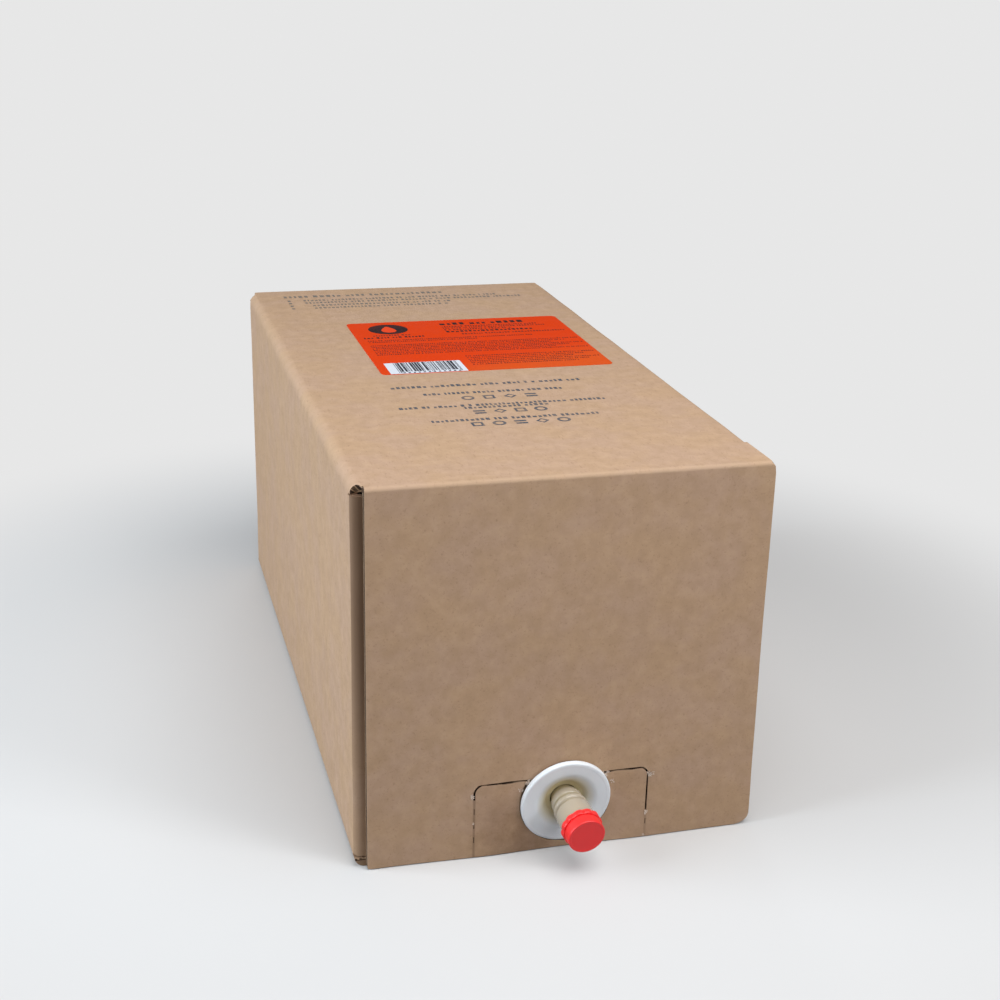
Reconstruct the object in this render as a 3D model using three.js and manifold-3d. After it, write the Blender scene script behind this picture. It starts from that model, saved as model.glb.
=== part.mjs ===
// A ten litre bag-in-box carton, lying as it is used, with its tapping spout pulled out of the front.
// Millimetres, +Z up. The origin is the middle of the carton's base, and the spout end faces -Y.

import * as THREE from 'three';
import { mergeVertices } from 'three/addons/utils/BufferGeometryUtils.js';
import { RoundedBoxGeometry } from 'three/addons/geometries/RoundedBoxGeometry.js';
import Module from 'manifold-3d';

const wasm = await Module();
wasm.setup();

// Carton: outside sizes, board and folds. The flutes of the board run along Y and up the end flaps.
const CARTON_WIDTH = 194;
const CARTON_LENGTH = 390;
const CARTON_HEIGHT = 186.4;
const BOARD = 4;
const PLY_GAP = 0.3;
const LONG_FOLD_R = 5;
const CRISP_FOLD_R = 2.2;
const SOFT_FOLD_R = 4;
const INNER_FOLD_R = 0.6;

// End flaps: the top panel's flap lies outside, then the bottom panel's, and the side flaps innermost.
const FRONT_INSET_LEFT = 5.6;
const FRONT_INSET_RIGHT = 2;
const BACK_INSET = 3.8;
const OUTER_FLAP_LIFT = 0.5;
const WORN_CORNER_R = 5.5;
const CUT_CORNER_R = 0.8;
const BOTTOM_FLAP_HEIGHT = 110;
const BOTTOM_FLAP_INSET = 14;
const SIDE_FLAP_LENGTH = 62;
const SIDE_FLAP_INSET = 5.2;
const SIDE_FLAP_CROWN = 3.5;
const SIDE_FLAP_SLOPE = 5.5;
const SLOT_WIDTH = 1;
const SLOT_END_R = 3.2;

// Glued lap that closes the sleeve, inside the right panel at the bottom edge.
const LAP_WIDTH = 35;
const LAP_PRESS = 0.3;
const LAP_END_INSET = 16;
const RIGHT_PANEL_LIFT = 0.4;

// Tear-out tab of the front flap and the round hole that it shares with the panel above it.
const TAB_LEFT = -41.5;
const TAB_RIGHT = 43;
const TAB_TOP = 37.8;
const TAB_CORNER_R = 3.6;
const SLIT = 0.8;
const LEFT_TEAR = 3.5;
const RIGHT_TEAR = 23;
const NICK_WIDTH = 0.3;
const NICK_LENGTH = 3;
const NICK_PITCH = 7.5;
const HOLE_X = 3.3;
const HOLE_Z = 24;
const HOLE_R = 22;
const TAB_HOLE_LIFT = 0.9;
const TAB_HOLE_R = 22.8;

// Label on the top panel.
const LABEL_WIDTH = 128.5;
const LABEL_LENGTH = 116;
const LABEL_THICKNESS = 0.3;
const LABEL_CORNER_R = 3;
const LABEL_X = 13.8;
const LABEL_Y = 39;

// Spout: the middle of its collar's face, and how its axis hangs down and turns to the right.
const SPOUT_X = 2.7;
const SPOUT_Z = 25;
const SPOUT_PROUD = 2.4;
const SPOUT_DROOP = 8;
const SPOUT_YAW = 1.7;
const VALVE_DROOP = 8.5;
const VALVE_YAW = 4.3;
const FIT = 0.3;

// Spout gland: welded flange, neck, collar and the dished face that holds the valve.
const COLLAR_R = 22;
const COLLAR_THICKNESS = 3.2;
const COLLAR_EDGE_R = 1.2;
const NECK_R = 15;
const NECK_WALL = 2;
const NECK_LENGTH = 11.8;
const FLANGE_R = 22.5;
const FLANGE_THICKNESS = 1.4;
const DISH_R = 15.5;
const DISH_WAIST_R = 11.5;
const DISH_WAIST_DEPTH = 3;
const DISH_FLOOR_R = 9.6;
const DISH_DEPTH = 7.5;
const WEB = 2;

// Valve body, measured along its own axis from the middle of the gland's dish floor.
const VALVE_ROOT_R = 6.2;
const VALVE_ROOT_LENGTH = 6.5;
const FIRST_RING_R = 7.5;
const FIRST_RING_LENGTH = 3.2;
const GROOVE = 0.8;
const GROOVE_DEPTH = 0.5;
const SECOND_RING_R = 8.3;
const SECOND_RING_LENGTH = 3.4;
const BARREL_R = 8.5;
const BARREL_LENGTH = 9.6;
const NOZZLE_R = 7;
const NOZZLE_LENGTH = 7;
const SNAP_FLANGE_R = 11;
const SNAP_FLANGE_THICKNESS = 1.8;
const SNAP_FLANGE_PLAY = 0.9;
const TAIL_R = 7.4;
const TAIL_LENGTH = 3.6;
const VALVE_BORE_R = 5.2;
const OUTLET_R = 3.4;
const OUTLET_LENGTH = 9;

// Poppet, its seal, its spring and the retainer that holds the spring in the tail.
const POPPET_PIN_R = 2.6;
const POPPET_PIN_RECESS = 1;
const POPPET_HEAD_R = 4.6;
const POPPET_HEAD_THICKNESS = 2.3;
const POPPET_ROD_R = 1.7;
const ROD_TAIL = 0.8;
const POPPET_TRAVEL = 4;
const SEAL_SECTION_R = 0.8;
const SPRING_R = 3.4;
const SPRING_WIRE_R = 0.45;
const SPRING_TURNS = 7;
const RETAINER_THICKNESS = 1.4;
const RETAINER_LIP = 0.3;
const RETAINER_EDGE = 0.3;
const FLOW_HOLES = 4;
const FLOW_HOLE_R = 0.7;

// Dust cap.
const CAP_RING_R = 9.8;
const CAP_RING_LENGTH = 3;
const CAP_LOBES = 12;
const CAP_LOBE_DEPTH = 0.55;
const CAP_GROOVE = 0.5;
const CAP_GROOVE_DEPTH = 0.4;
const CAP_R = 8.9;
const CAP_TOP = 1.6;
const CAP_BEVEL = 0.6;

// Filled bag.
const BAG_CLEARANCE = 0.3;
const BAG_HEADSPACE = 3;
const BAG_EDGE_R = 20;
const BAG_EDGE_STEPS = 4;

// Facets.
const ARC_STEP = Math.PI / 8;
const ROUND_STEPS = 36;
const SMALL_ROUND_STEPS = 20;
const WIRE_SIDES = 6;
const STEPS_PER_TURN = 12;
const OVERCUT = 1;

// Worked-out places that several pieces share.
const HALF_WIDTH = CARTON_WIDTH / 2;
const HALF_LENGTH = CARTON_LENGTH / 2;
const SECOND_PLY = BOARD + PLY_GAP;
const THIRD_PLY = 2 * SECOND_PLY;
const FLAP_ROOT = 30;
const DISH_FLOOR = -DISH_DEPTH;
const NECK_END = -COLLAR_THICKNESS - NECK_LENGTH;
const FIRST_RING_END = VALVE_ROOT_LENGTH + FIRST_RING_LENGTH;
const SECOND_RING_END = FIRST_RING_END + GROOVE + SECOND_RING_LENGTH;
const SHOULDER = SECOND_RING_END + GROOVE + BARREL_LENGTH;
const NOZZLE_END = SHOULDER + NOZZLE_LENGTH;
const SEAT = NOZZLE_END - OUTLET_LENGTH;
const SNAP_FLANGE_FRONT = -WEB - SNAP_FLANGE_PLAY;
const TAIL_END = SNAP_FLANGE_FRONT - SNAP_FLANGE_THICKNESS - TAIL_LENGTH;
const RETAINER_BACK = TAIL_END + FIT + RETAINER_LIP + FIT;
const RETAINER_FRONT = RETAINER_BACK + RETAINER_THICKNESS;
const POPPET_FACE = SEAT - 2 * FIT - 2 * SEAL_SECTION_R;
const POPPET_BACK = POPPET_FACE - POPPET_HEAD_THICKNESS;

// Outlines

// A closed outline with rounded corners. Each corner is [x, y, radius], and a radius that its
// edges can't hold is limited to what they can.
function roundedOutline(corners, step = ARC_STEP) {
  const count = corners.length;
  const points = [];
  corners.forEach(([x, y, radius = 0], index) => {
    const corner = new THREE.Vector2(x, y);
    const [beforeX, beforeY] = corners[(index + count - 1) % count];
    const [afterX, afterY] = corners[(index + 1) % count];
    const back = new THREE.Vector2(beforeX, beforeY).sub(corner);
    const ahead = new THREE.Vector2(afterX, afterY).sub(corner);
    const room = Math.min(back.length(), ahead.length()) * 0.49;
    back.normalize();
    ahead.normalize();
    const half = Math.acos(THREE.MathUtils.clamp(back.dot(ahead), -1, 1)) / 2;
    const reach = Math.min(radius / Math.tan(half), room);
    if (reach < 0.01) {
      points.push(corner);
      return;
    }
    const fillet = reach * Math.tan(half);
    const bisector = back.clone().add(ahead).normalize();
    const centre = corner.clone().addScaledVector(bisector, fillet / Math.sin(half));
    const start = corner.clone().addScaledVector(back, reach).sub(centre);
    const sweep = (2 * half - Math.PI) * Math.sign(back.cross(ahead));
    const steps = Math.max(1, Math.ceil(Math.abs(sweep) / step));
    for (let i = 0; i <= steps; i += 1) {
      const turned = start.clone().rotateAround(new THREE.Vector2(), sweep * (i / steps));
      points.push(turned.add(centre));
    }
  });
  return points;
}

// The section of a folded board: a path down the middle of the board, given its thickness, with
// an outer and an inner radius at each bend.
function boardOutline(path, thickness, outerR, innerR) {
  const middle = path.map(([x, y]) => new THREE.Vector2(x, y));
  const normals = middle.slice(1).map((point, i) => {
    const along = point.clone().sub(middle[i]).normalize();
    return new THREE.Vector2(-along.y, along.x);
  });
  const side = (sign) => middle.map((point, i) => {
    const first = normals[Math.max(i - 1, 0)];
    const second = normals[Math.min(i, normals.length - 1)];
    const mitre = first.clone().add(second).normalize();
    const offset = (sign * thickness) / 2 / mitre.dot(second);
    const turn = first.cross(second);
    const isEnd = i === 0 || i === middle.length - 1;
    const radius = turn * sign < 0 ? outerR : innerR;
    return [point.x + mitre.x * offset, point.y + mitre.y * offset, isEnd ? 0 : radius];
  });
  return roundedOutline([...side(1), ...side(-1).reverse()]);
}

// Solids

// A closed three.js geometry as a solid that can be joined and cut.
function solid(geometry) {
  const bare = geometry.clone();
  bare.deleteAttribute('normal');
  bare.deleteAttribute('uv');
  const merged = mergeVertices(bare, 1e-4);
  return new wasm.Manifold(new wasm.Mesh({
    numProp: 3,
    vertProperties: new Float32Array(merged.attributes.position.array),
    triVerts: new Uint32Array(merged.index.array),
  }));
}

// A solid as a three.js geometry.
function geometryOf(body) {
  const mesh = body.getMesh();
  const geometry = new THREE.BufferGeometry();
  geometry.setAttribute('position', new THREE.BufferAttribute(mesh.vertProperties, 3));
  geometry.setIndex(new THREE.BufferAttribute(mesh.triVerts, 1));
  return geometry;
}

// Turns a prism's own X, Y and depth so that its outline lies across the named axis.
const TURNS = {
  x: new THREE.Matrix4().makeBasis(
    new THREE.Vector3(0, 1, 0), new THREE.Vector3(0, 0, 1), new THREE.Vector3(1, 0, 0)),
  y: new THREE.Matrix4().makeBasis(
    new THREE.Vector3(1, 0, 0), new THREE.Vector3(0, 0, 1), new THREE.Vector3(0, -1, 0)),
  z: new THREE.Matrix4(),
};

// An outline carried along an axis from one place to another: [y, z] points across X, [x, z]
// points across Y and [x, y] points across Z.
function prismGeometry(outline, axis, from, to) {
  const low = Math.min(from, to);
  const depth = Math.abs(to - from);
  const shape = outline instanceof THREE.Shape ? outline : new THREE.Shape(outline);
  const geometry = new THREE.ExtrudeGeometry(shape, { depth, bevelEnabled: false });
  geometry.applyMatrix4(TURNS[axis]);
  const shift = { x: [low, 0, 0], y: [0, low + depth, 0], z: [0, 0, low] }[axis];
  return geometry.translate(...shift);
}

function prism(outline, axis, from, to) {
  return solid(prismGeometry(outline, axis, from, to));
}

// A block between two corners.
function block([x0, y0, z0], [x1, y1, z1]) {
  const [left, right] = [Math.min(x0, x1), Math.max(x0, x1)];
  const outline = [[left, z0], [right, z0], [right, z1], [left, z1]];
  return prism(roundedOutline(outline), 'y', y0, y1);
}

// A rounded profile of [radius, place along the axis, fillet] corners, turned round the Y axis.
// The corners run anticlockwise, so that the faces point outwards.
function revolve(corners, steps = ROUND_STEPS, arcStep = ARC_STEP) {
  const profile = roundedOutline(corners, arcStep);
  return new THREE.LatheGeometry([...profile, profile[0]], steps);
}

// A round rod along Y.
function rod(radius, from, to, steps = ROUND_STEPS) {
  const geometry = new THREE.CylinderGeometry(radius, radius, Math.abs(to - from), steps);
  return geometry.translate(0, (from + to) / 2, 0);
}

const joined = (first, ...others) => others.reduce((whole, other) => whole.add(other), first);
const without = (first, ...others) => others.reduce((whole, other) => whole.subtract(other), first);

// Carton

// A place on the length of the carton, counted inwards from its front or its back end.
const fromEnd = (end, inward) => end * (HALF_LENGTH - inward);

// The sleeve: one board folded round the four long edges and closed by a glued lap.
function sleeve() {
  const low = fromEnd(-1, SECOND_PLY);
  const high = fromEnd(1, SECOND_PLY);
  const half = BOARD / 2;
  const lapX = HALF_WIDTH - BOARD - half + LAP_PRESS;
  const around = boardOutline([
    [OVERCUT, half],
    [-HALF_WIDTH + half, half],
    [-HALF_WIDTH + half, CARTON_HEIGHT - half],
    [HALF_WIDTH - half, CARTON_HEIGHT - half],
    [HALF_WIDTH - half, RIGHT_PANEL_LIFT],
  ], BOARD, LONG_FOLD_R, INNER_FOLD_R);
  const lap = boardOutline([
    [-OVERCUT, half],
    [lapX, half],
    [lapX, BOARD + LAP_WIDTH],
  ], BOARD, LONG_FOLD_R, INNER_FOLD_R);
  const lapTrims = [-1, 1].map((end) => block(
    [lapX - BOARD, fromEnd(end, 0), BOARD],
    [HALF_WIDTH - BOARD, fromEnd(end, LAP_END_INSET), BOARD + LAP_WIDTH + OVERCUT]));
  const lapSolid = without(prism(lap, 'y', low, high), ...lapTrims);
  return prism(around, 'y', low, high).add(lapSolid);
}

// Room for the bends of the side flaps and the bottom flap, and the rounded ends of the corner
// slots that part the flaps.
function slots(end) {
  const bend = SECOND_PLY + SOFT_FOLD_R;
  const sides = [-1, 1].map((side) => block(
    [side * (HALF_WIDTH + OVERCUT), fromEnd(end, 0), SIDE_FLAP_INSET - SLOT_WIDTH],
    [side * (HALF_WIDTH - BOARD - OVERCUT / 2), fromEnd(end, bend),
      CARTON_HEIGHT - SIDE_FLAP_INSET + SLOT_WIDTH]));
  const flapHalf = HALF_WIDTH - BOTTOM_FLAP_INSET + SLOT_WIDTH;
  const below = block(
    [-flapHalf, fromEnd(end, 0), -OVERCUT],
    [flapHalf, fromEnd(end, bend), BOARD + OVERCUT / 2]);
  const roundEnds = [-1, 1].map((side) => {
    const drill = rod(SLOT_END_R, -LONG_FOLD_R, LONG_FOLD_R * 2, SMALL_ROUND_STEPS);
    drill.rotateZ(-side * Math.PI / 4);
    drill.rotateX(Math.PI / 2);
    drill.translate(side * (HALF_WIDTH - BOARD), fromEnd(end, SECOND_PLY), CARTON_HEIGHT - BOARD);
    return solid(drill);
  });
  return [...sides, below, ...roundEnds];
}

// The outer flap, folded down from the top panel, with its outline seen from the front.
function outerFlap(end, insetLeft, insetRight, wornR) {
  const half = BOARD / 2;
  const bent = boardOutline([
    [fromEnd(end, FLAP_ROOT), CARTON_HEIGHT - half],
    [fromEnd(end, half), CARTON_HEIGHT - half],
    [fromEnd(end, half), 0],
  ], BOARD, CRISP_FOLD_R, INNER_FOLD_R);
  const face = roundedOutline([
    [-HALF_WIDTH + insetLeft, OUTER_FLAP_LIFT, CUT_CORNER_R],
    [HALF_WIDTH - insetRight, OUTER_FLAP_LIFT, wornR],
    [HALF_WIDTH - insetRight, CARTON_HEIGHT + OVERCUT],
    [-HALF_WIDTH + insetLeft, CARTON_HEIGHT + OVERCUT],
  ]);
  const outline = prism(face, 'y', fromEnd(end, -OVERCUT), fromEnd(end, FLAP_ROOT + OVERCUT));
  return prism(bent, 'x', -HALF_WIDTH, HALF_WIDTH).intersect(outline);
}

// The bottom flap, folded up behind the outer flap.
function bottomFlap(end) {
  const middle = SECOND_PLY + BOARD / 2;
  const bent = boardOutline([
    [fromEnd(end, FLAP_ROOT), BOARD / 2],
    [fromEnd(end, middle), BOARD / 2],
    [fromEnd(end, middle), BOTTOM_FLAP_HEIGHT],
  ], BOARD, SOFT_FOLD_R, INNER_FOLD_R);
  const half = HALF_WIDTH - BOTTOM_FLAP_INSET;
  return prism(bent, 'x', -half, half);
}

// A side flap. Its fold stands forward in the corner slot, and the flap behind it is pressed back
// by the bottom flap.
function sideFlap(end, side) {
  const edge = HALF_WIDTH - BOARD / 2;
  const crown = HALF_WIDTH - BOARD - SIDE_FLAP_CROWN;
  const bent = boardOutline([
    [side * edge, fromEnd(end, FLAP_ROOT)],
    [side * edge, fromEnd(end, SECOND_PLY + BOARD / 2)],
    [side * crown, fromEnd(end, SECOND_PLY + BOARD / 2)],
    [side * (crown - SIDE_FLAP_SLOPE), fromEnd(end, THIRD_PLY + BOARD / 2)],
    [side * (HALF_WIDTH - SIDE_FLAP_LENGTH), fromEnd(end, THIRD_PLY + BOARD / 2)],
  ], BOARD, SOFT_FOLD_R, INNER_FOLD_R);
  return prism(bent, 'z', SIDE_FLAP_INSET, CARTON_HEIGHT - SIDE_FLAP_INSET);
}

// The spout hole in the outer flap: a round edge in the panel over the slit and a wider one in
// the tab under it.
function spoutHole() {
  const panelRise = Math.asin((TAB_TOP - HOLE_Z) / HOLE_R);
  const tabCentre = HOLE_Z + TAB_HOLE_LIFT;
  const tabRise = Math.asin((TAB_TOP - tabCentre) / TAB_HOLE_R);
  const shape = new THREE.Shape();
  shape.absarc(HOLE_X, HOLE_Z, HOLE_R, panelRise, Math.PI - panelRise, false);
  shape.absarc(HOLE_X, tabCentre, TAB_HOLE_R, Math.PI - tabRise, 2 * Math.PI + tabRise, false);
  return new THREE.Shape(shape.getPoints(ROUND_STEPS / 2));
}

// The slit round the tab's top and corners, torn open a little way down each side, and the
// perforation cuts below it.
function tabCuts() {
  const slit = boardOutline([
    [TAB_LEFT, TAB_TOP - LEFT_TEAR - TAB_CORNER_R],
    [TAB_LEFT, TAB_TOP],
    [TAB_RIGHT, TAB_TOP],
    [TAB_RIGHT, TAB_TOP - RIGHT_TEAR],
  ], SLIT, TAB_CORNER_R + SLIT / 2, TAB_CORNER_R - SLIT / 2);
  const through = [fromEnd(-1, -OVERCUT), fromEnd(-1, BOARD + PLY_GAP / 2)];
  const nicks = [];
  const rows = [[TAB_LEFT, LEFT_TEAR + TAB_CORNER_R], [TAB_RIGHT, RIGHT_TEAR]];
  rows.forEach(([x, torn]) => {
    const top = TAB_TOP - torn - (NICK_PITCH - NICK_LENGTH);
    for (let z = top; z - NICK_LENGTH > OUTER_FLAP_LIFT + OVERCUT; z -= NICK_PITCH) {
      nicks.push(block(
        [x - NICK_WIDTH / 2, through[0], z - NICK_LENGTH],
        [x + NICK_WIDTH / 2, through[1], z]));
    }
  });
  return [prism(slit, 'y', ...through), prism(spoutHole(), 'y', ...through), ...nicks];
}

// The carton is one folded and glued board.
function carton() {
  const ends = [-1, 1].map((end) => joined(
    bottomFlap(end), sideFlap(end, -1), sideFlap(end, 1)));
  const neckHole = spoutTool(rod(NECK_R + 2 * FIT, NECK_END, -COLLAR_THICKNESS + OVERCUT));
  const front = without(
    outerFlap(-1, FRONT_INSET_LEFT, FRONT_INSET_RIGHT, WORN_CORNER_R), ...tabCuts());
  const back = outerFlap(1, BACK_INSET, BACK_INSET, CUT_CORNER_R);
  const body = without(sleeve(), ...slots(-1), ...slots(1));
  return joined(body, without(ends[0], neckHole), ends[1], front, back);
}

// Label

function label() {
  const [halfWidth, halfLength] = [LABEL_WIDTH / 2, LABEL_LENGTH / 2];
  const corners = [[-1, -1], [1, -1], [1, 1], [-1, 1]].map(([x, y]) => [
    LABEL_X + x * halfWidth, LABEL_Y + y * halfLength, LABEL_CORNER_R]);
  return prismGeometry(
    roundedOutline(corners), 'z', CARTON_HEIGHT, CARTON_HEIGHT + LABEL_THICKNESS);
}

// Spout, built along +Y from the middle of the collar's face, +Y outwards

// Turns +Y to the spout's axis, which hangs down and turns to the right.
function aim(object, droop, yaw) {
  const down = THREE.MathUtils.degToRad(droop);
  const right = THREE.MathUtils.degToRad(yaw);
  object.rotation.set(-down, 0, Math.PI + right, 'ZXY');
  return object;
}

function spoutFrame() {
  const frame = aim(new THREE.Group(), SPOUT_DROOP, SPOUT_YAW);
  frame.position.set(SPOUT_X, fromEnd(-1, -SPOUT_PROUD), SPOUT_Z);
  return frame;
}

function valveFrame() {
  const frame = aim(new THREE.Group(), VALVE_DROOP, VALVE_YAW);
  const spout = spoutFrame();
  spout.updateMatrix();
  frame.position.set(0, DISH_FLOOR, 0).applyMatrix4(spout.matrix);
  return frame;
}

// A cutting solid that stands in the spout's place.
function spoutTool(geometry) {
  const frame = spoutFrame();
  frame.updateMatrix();
  return solid(geometry.clone().applyMatrix4(frame.matrix));
}

function spoutGland() {
  const bore = VALVE_ROOT_R + 1.5 * FIT;
  const neckBore = NECK_R - NECK_WALL;
  const webBack = DISH_FLOOR - WEB;
  return revolve([
    [bore, webBack, 0.3],
    [neckBore, webBack, 1],
    [neckBore, NECK_END - FLANGE_THICKNESS],
    [FLANGE_R, NECK_END - FLANGE_THICKNESS, 0.4],
    [FLANGE_R, NECK_END, 0.4],
    [NECK_R, NECK_END, 1],
    [NECK_R, -COLLAR_THICKNESS, 0.8],
    [COLLAR_R, -COLLAR_THICKNESS, COLLAR_EDGE_R],
    [COLLAR_R, 0, COLLAR_EDGE_R],
    [DISH_R, -0.4, 3],
    [DISH_WAIST_R, -DISH_WAIST_DEPTH, 4],
    [DISH_FLOOR_R, DISH_FLOOR, 1],
    [bore, DISH_FLOOR, 0.3],
  ], ROUND_STEPS, Math.PI / 5);
}

function valveBody() {
  const grooved = BARREL_R - GROOVE_DEPTH;
  const clipR = VALVE_BORE_R + RETAINER_EDGE + FIT;
  const snapBack = SNAP_FLANGE_FRONT - SNAP_FLANGE_THICKNESS;
  return revolve([
    [VALVE_BORE_R, TAIL_END],
    [TAIL_R, TAIL_END, 0.4],
    [TAIL_R, snapBack],
    [SNAP_FLANGE_R, snapBack, 0.4],
    [SNAP_FLANGE_R, SNAP_FLANGE_FRONT, 0.4],
    [VALVE_ROOT_R, SNAP_FLANGE_FRONT],
    [VALVE_ROOT_R, VALVE_ROOT_LENGTH - 1, 0.6],
    [FIRST_RING_R, VALVE_ROOT_LENGTH, 0.6],
    [FIRST_RING_R, FIRST_RING_END, 0.7],
    [FIRST_RING_R - GROOVE_DEPTH, FIRST_RING_END + GROOVE / 2],
    [SECOND_RING_R, FIRST_RING_END + GROOVE, 0.6],
    [SECOND_RING_R, SECOND_RING_END, 0.7],
    [grooved, SECOND_RING_END + GROOVE / 2],
    [BARREL_R, SECOND_RING_END + GROOVE, 0.5],
    [BARREL_R, SHOULDER, 0.5],
    [NOZZLE_R, SHOULDER],
    [NOZZLE_R, NOZZLE_END, 0.8],
    [OUTLET_R, NOZZLE_END, 0.4],
    [OUTLET_R, SEAT],
    [VALVE_BORE_R, SEAT],
    [VALVE_BORE_R, RETAINER_FRONT + FIT],
    [clipR, RETAINER_FRONT + FIT],
    [clipR, RETAINER_BACK - FIT],
    [VALVE_BORE_R, RETAINER_BACK - FIT],
  ], ROUND_STEPS, Math.PI / 4);
}

function springRetainer() {
  const disc = solid(revolve([
    [POPPET_ROD_R + FIT, RETAINER_BACK],
    [VALVE_BORE_R + RETAINER_EDGE, RETAINER_BACK],
    [VALVE_BORE_R + RETAINER_EDGE, RETAINER_FRONT],
    [POPPET_ROD_R + FIT, RETAINER_FRONT],
  ], SMALL_ROUND_STEPS));
  const ringR = (POPPET_ROD_R + VALVE_BORE_R) / 2;
  const holes = Array.from({ length: FLOW_HOLES }, (_, i) => {
    const hole = rod(FLOW_HOLE_R, RETAINER_BACK - OVERCUT, RETAINER_FRONT + OVERCUT, 12);
    hole.translate(ringR, 0, 0);
    return solid(hole.rotateY((i * 2 * Math.PI) / FLOW_HOLES));
  });
  return geometryOf(without(disc, ...holes));
}

function valvePoppet() {
  const tip = NOZZLE_END - POPPET_PIN_RECESS;
  return revolve([
    [0, RETAINER_BACK - ROD_TAIL],
    [POPPET_ROD_R, RETAINER_BACK - ROD_TAIL, 0.4],
    [POPPET_ROD_R, POPPET_BACK],
    [POPPET_HEAD_R, POPPET_BACK, 0.3],
    [POPPET_HEAD_R, POPPET_FACE, 0.3],
    [POPPET_PIN_R, POPPET_FACE],
    [POPPET_PIN_R, tip, 0.5],
    [0, tip],
  ], SMALL_ROUND_STEPS);
}

function poppetSeal() {
  const geometry = new THREE.TorusGeometry(
    POPPET_PIN_R + FIT + SEAL_SECTION_R, SEAL_SECTION_R, 8, SMALL_ROUND_STEPS);
  return geometry.rotateX(Math.PI / 2).translate(0, POPPET_FACE + FIT + SEAL_SECTION_R, 0);
}

// The wire's middle line: a helix between the retainer and the poppet's head.
class Helix extends THREE.Curve {
  constructor(radius, from, to, turns) {
    super();
    Object.assign(this, { radius, from, to, turns });
  }

  getPoint(t, target = new THREE.Vector3()) {
    const angle = 2 * Math.PI * this.turns * t;
    return target.set(
      this.radius * Math.cos(angle), THREE.MathUtils.lerp(this.from, this.to, t),
      this.radius * Math.sin(angle));
  }
}

function valveSpring() {
  const wire = new THREE.Shape();
  wire.absarc(0, 0, SPRING_WIRE_R, 0, 2 * Math.PI, false);
  const extrudePath = new Helix(
    SPRING_R, RETAINER_FRONT + FIT + SPRING_WIRE_R, POPPET_BACK - FIT - SPRING_WIRE_R, SPRING_TURNS);
  return new THREE.ExtrudeGeometry(new THREE.Shape(wire.getPoints(WIRE_SIDES / 2)), {
    extrudePath, steps: SPRING_TURNS * STEPS_PER_TURN, bevelEnabled: false });
}

// The cap: a lobed grip ring behind a smooth round front with a flat face.
function dustCap() {
  const back = SHOULDER + FIT;
  const ringEnd = back + CAP_RING_LENGTH;
  const ceiling = NOZZLE_END + FIT;
  const face = ceiling + CAP_TOP;
  const lobed = [];
  const perLobe = 6;
  for (let i = 0; i < CAP_LOBES * perLobe; i += 1) {
    const phase = (i % perLobe) / perLobe;
    const angle = (2 * Math.PI * i) / (CAP_LOBES * perLobe);
    const radius = CAP_RING_R - CAP_LOBE_DEPTH * (1 - Math.sin(Math.PI * phase));
    lobed.push(new THREE.Vector2(radius * Math.cos(angle), radius * Math.sin(angle)));
  }
  const ring = prism(lobed, 'y', back, ringEnd);
  const front = solid(revolve([
    [0, back],
    [CAP_R - CAP_GROOVE_DEPTH, back],
    [CAP_R - CAP_GROOVE_DEPTH, ringEnd + CAP_GROOVE],
    [CAP_R, ringEnd + CAP_GROOVE, 0.2],
    [CAP_R, face, CAP_BEVEL],
    [0, face],
  ]));
  const bore = solid(rod(NOZZLE_R + FIT, back - OVERCUT, ceiling));
  return geometryOf(ring.add(front).subtract(bore));
}

// Filled bag

// The bag fills the carton between the inner flaps and the lap, and is welded to the spout's
// flange in a pocket of its front.
function filledBag() {
  const left = -HALF_WIDTH + BOARD + BAG_CLEARANCE;
  const right = HALF_WIDTH - 2 * BOARD + LAP_PRESS - BAG_CLEARANCE;
  const front = fromEnd(-1, THIRD_PLY + BOARD + BAG_CLEARANCE);
  const back = fromEnd(1, THIRD_PLY + BOARD + BAG_CLEARANCE);
  const low = BOARD + BAG_CLEARANCE;
  const high = CARTON_HEIGHT - BOARD - BAG_HEADSPACE;
  const pillow = new RoundedBoxGeometry(
    right - left, back - front, high - low, BAG_EDGE_STEPS, BAG_EDGE_R);
  pillow.translate((left + right) / 2, (front + back) / 2, (low + high) / 2);
  const flangeBack = NECK_END - FLANGE_THICKNESS - FIT;
  const pocket = spoutTool(rod(FLANGE_R + FIT, flangeBack, 0));
  const throat = spoutTool(rod(NECK_R - NECK_WALL, flangeBack - ROD_TAIL - POPPET_TRAVEL, 0));
  return geometryOf(solid(pillow).subtract(pocket).subtract(throat));
}

// Assembly

function finish(color, roughness, metalness = 0) {
  return new THREE.MeshStandardMaterial({ color, roughness, metalness });
}

function piece(name, geometry, material) {
  geometry.computeVertexNormals();
  const mesh = new THREE.Mesh(geometry, material);
  mesh.name = name;
  return mesh;
}

const pack = new THREE.Group();
pack.name = 'bag_in_box_carton';

const spout = spoutFrame();
spout.add(piece('spout_gland', spoutGland(), finish('#c8ccd6', 0.35)));

const valve = valveFrame();
valve.add(
  piece('valve_body', valveBody(), finish('#c6bca4', 0.4)),
  piece('spring_retainer', springRetainer(), finish('#c6bca4', 0.45)),
  piece('valve_poppet', valvePoppet(), finish('#d8d4c8', 0.4)),
  piece('poppet_seal', poppetSeal(), finish('#2a2a2c', 0.7)),
  piece('valve_spring', valveSpring(), finish('#b4b6ba', 0.3, 1)),
  piece('dust_cap', dustCap(), finish('#e53a30', 0.35)),
);

pack.add(
  piece('carton', geometryOf(carton()), finish('#b4967a', 0.85)),
  piece('label', label(), finish('#dd4414', 0.5)),
  piece('filled_bag', filledBag(), finish('#d9d3c4', 0.4)),
  spout,
  valve,
);

export default pack;
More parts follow.
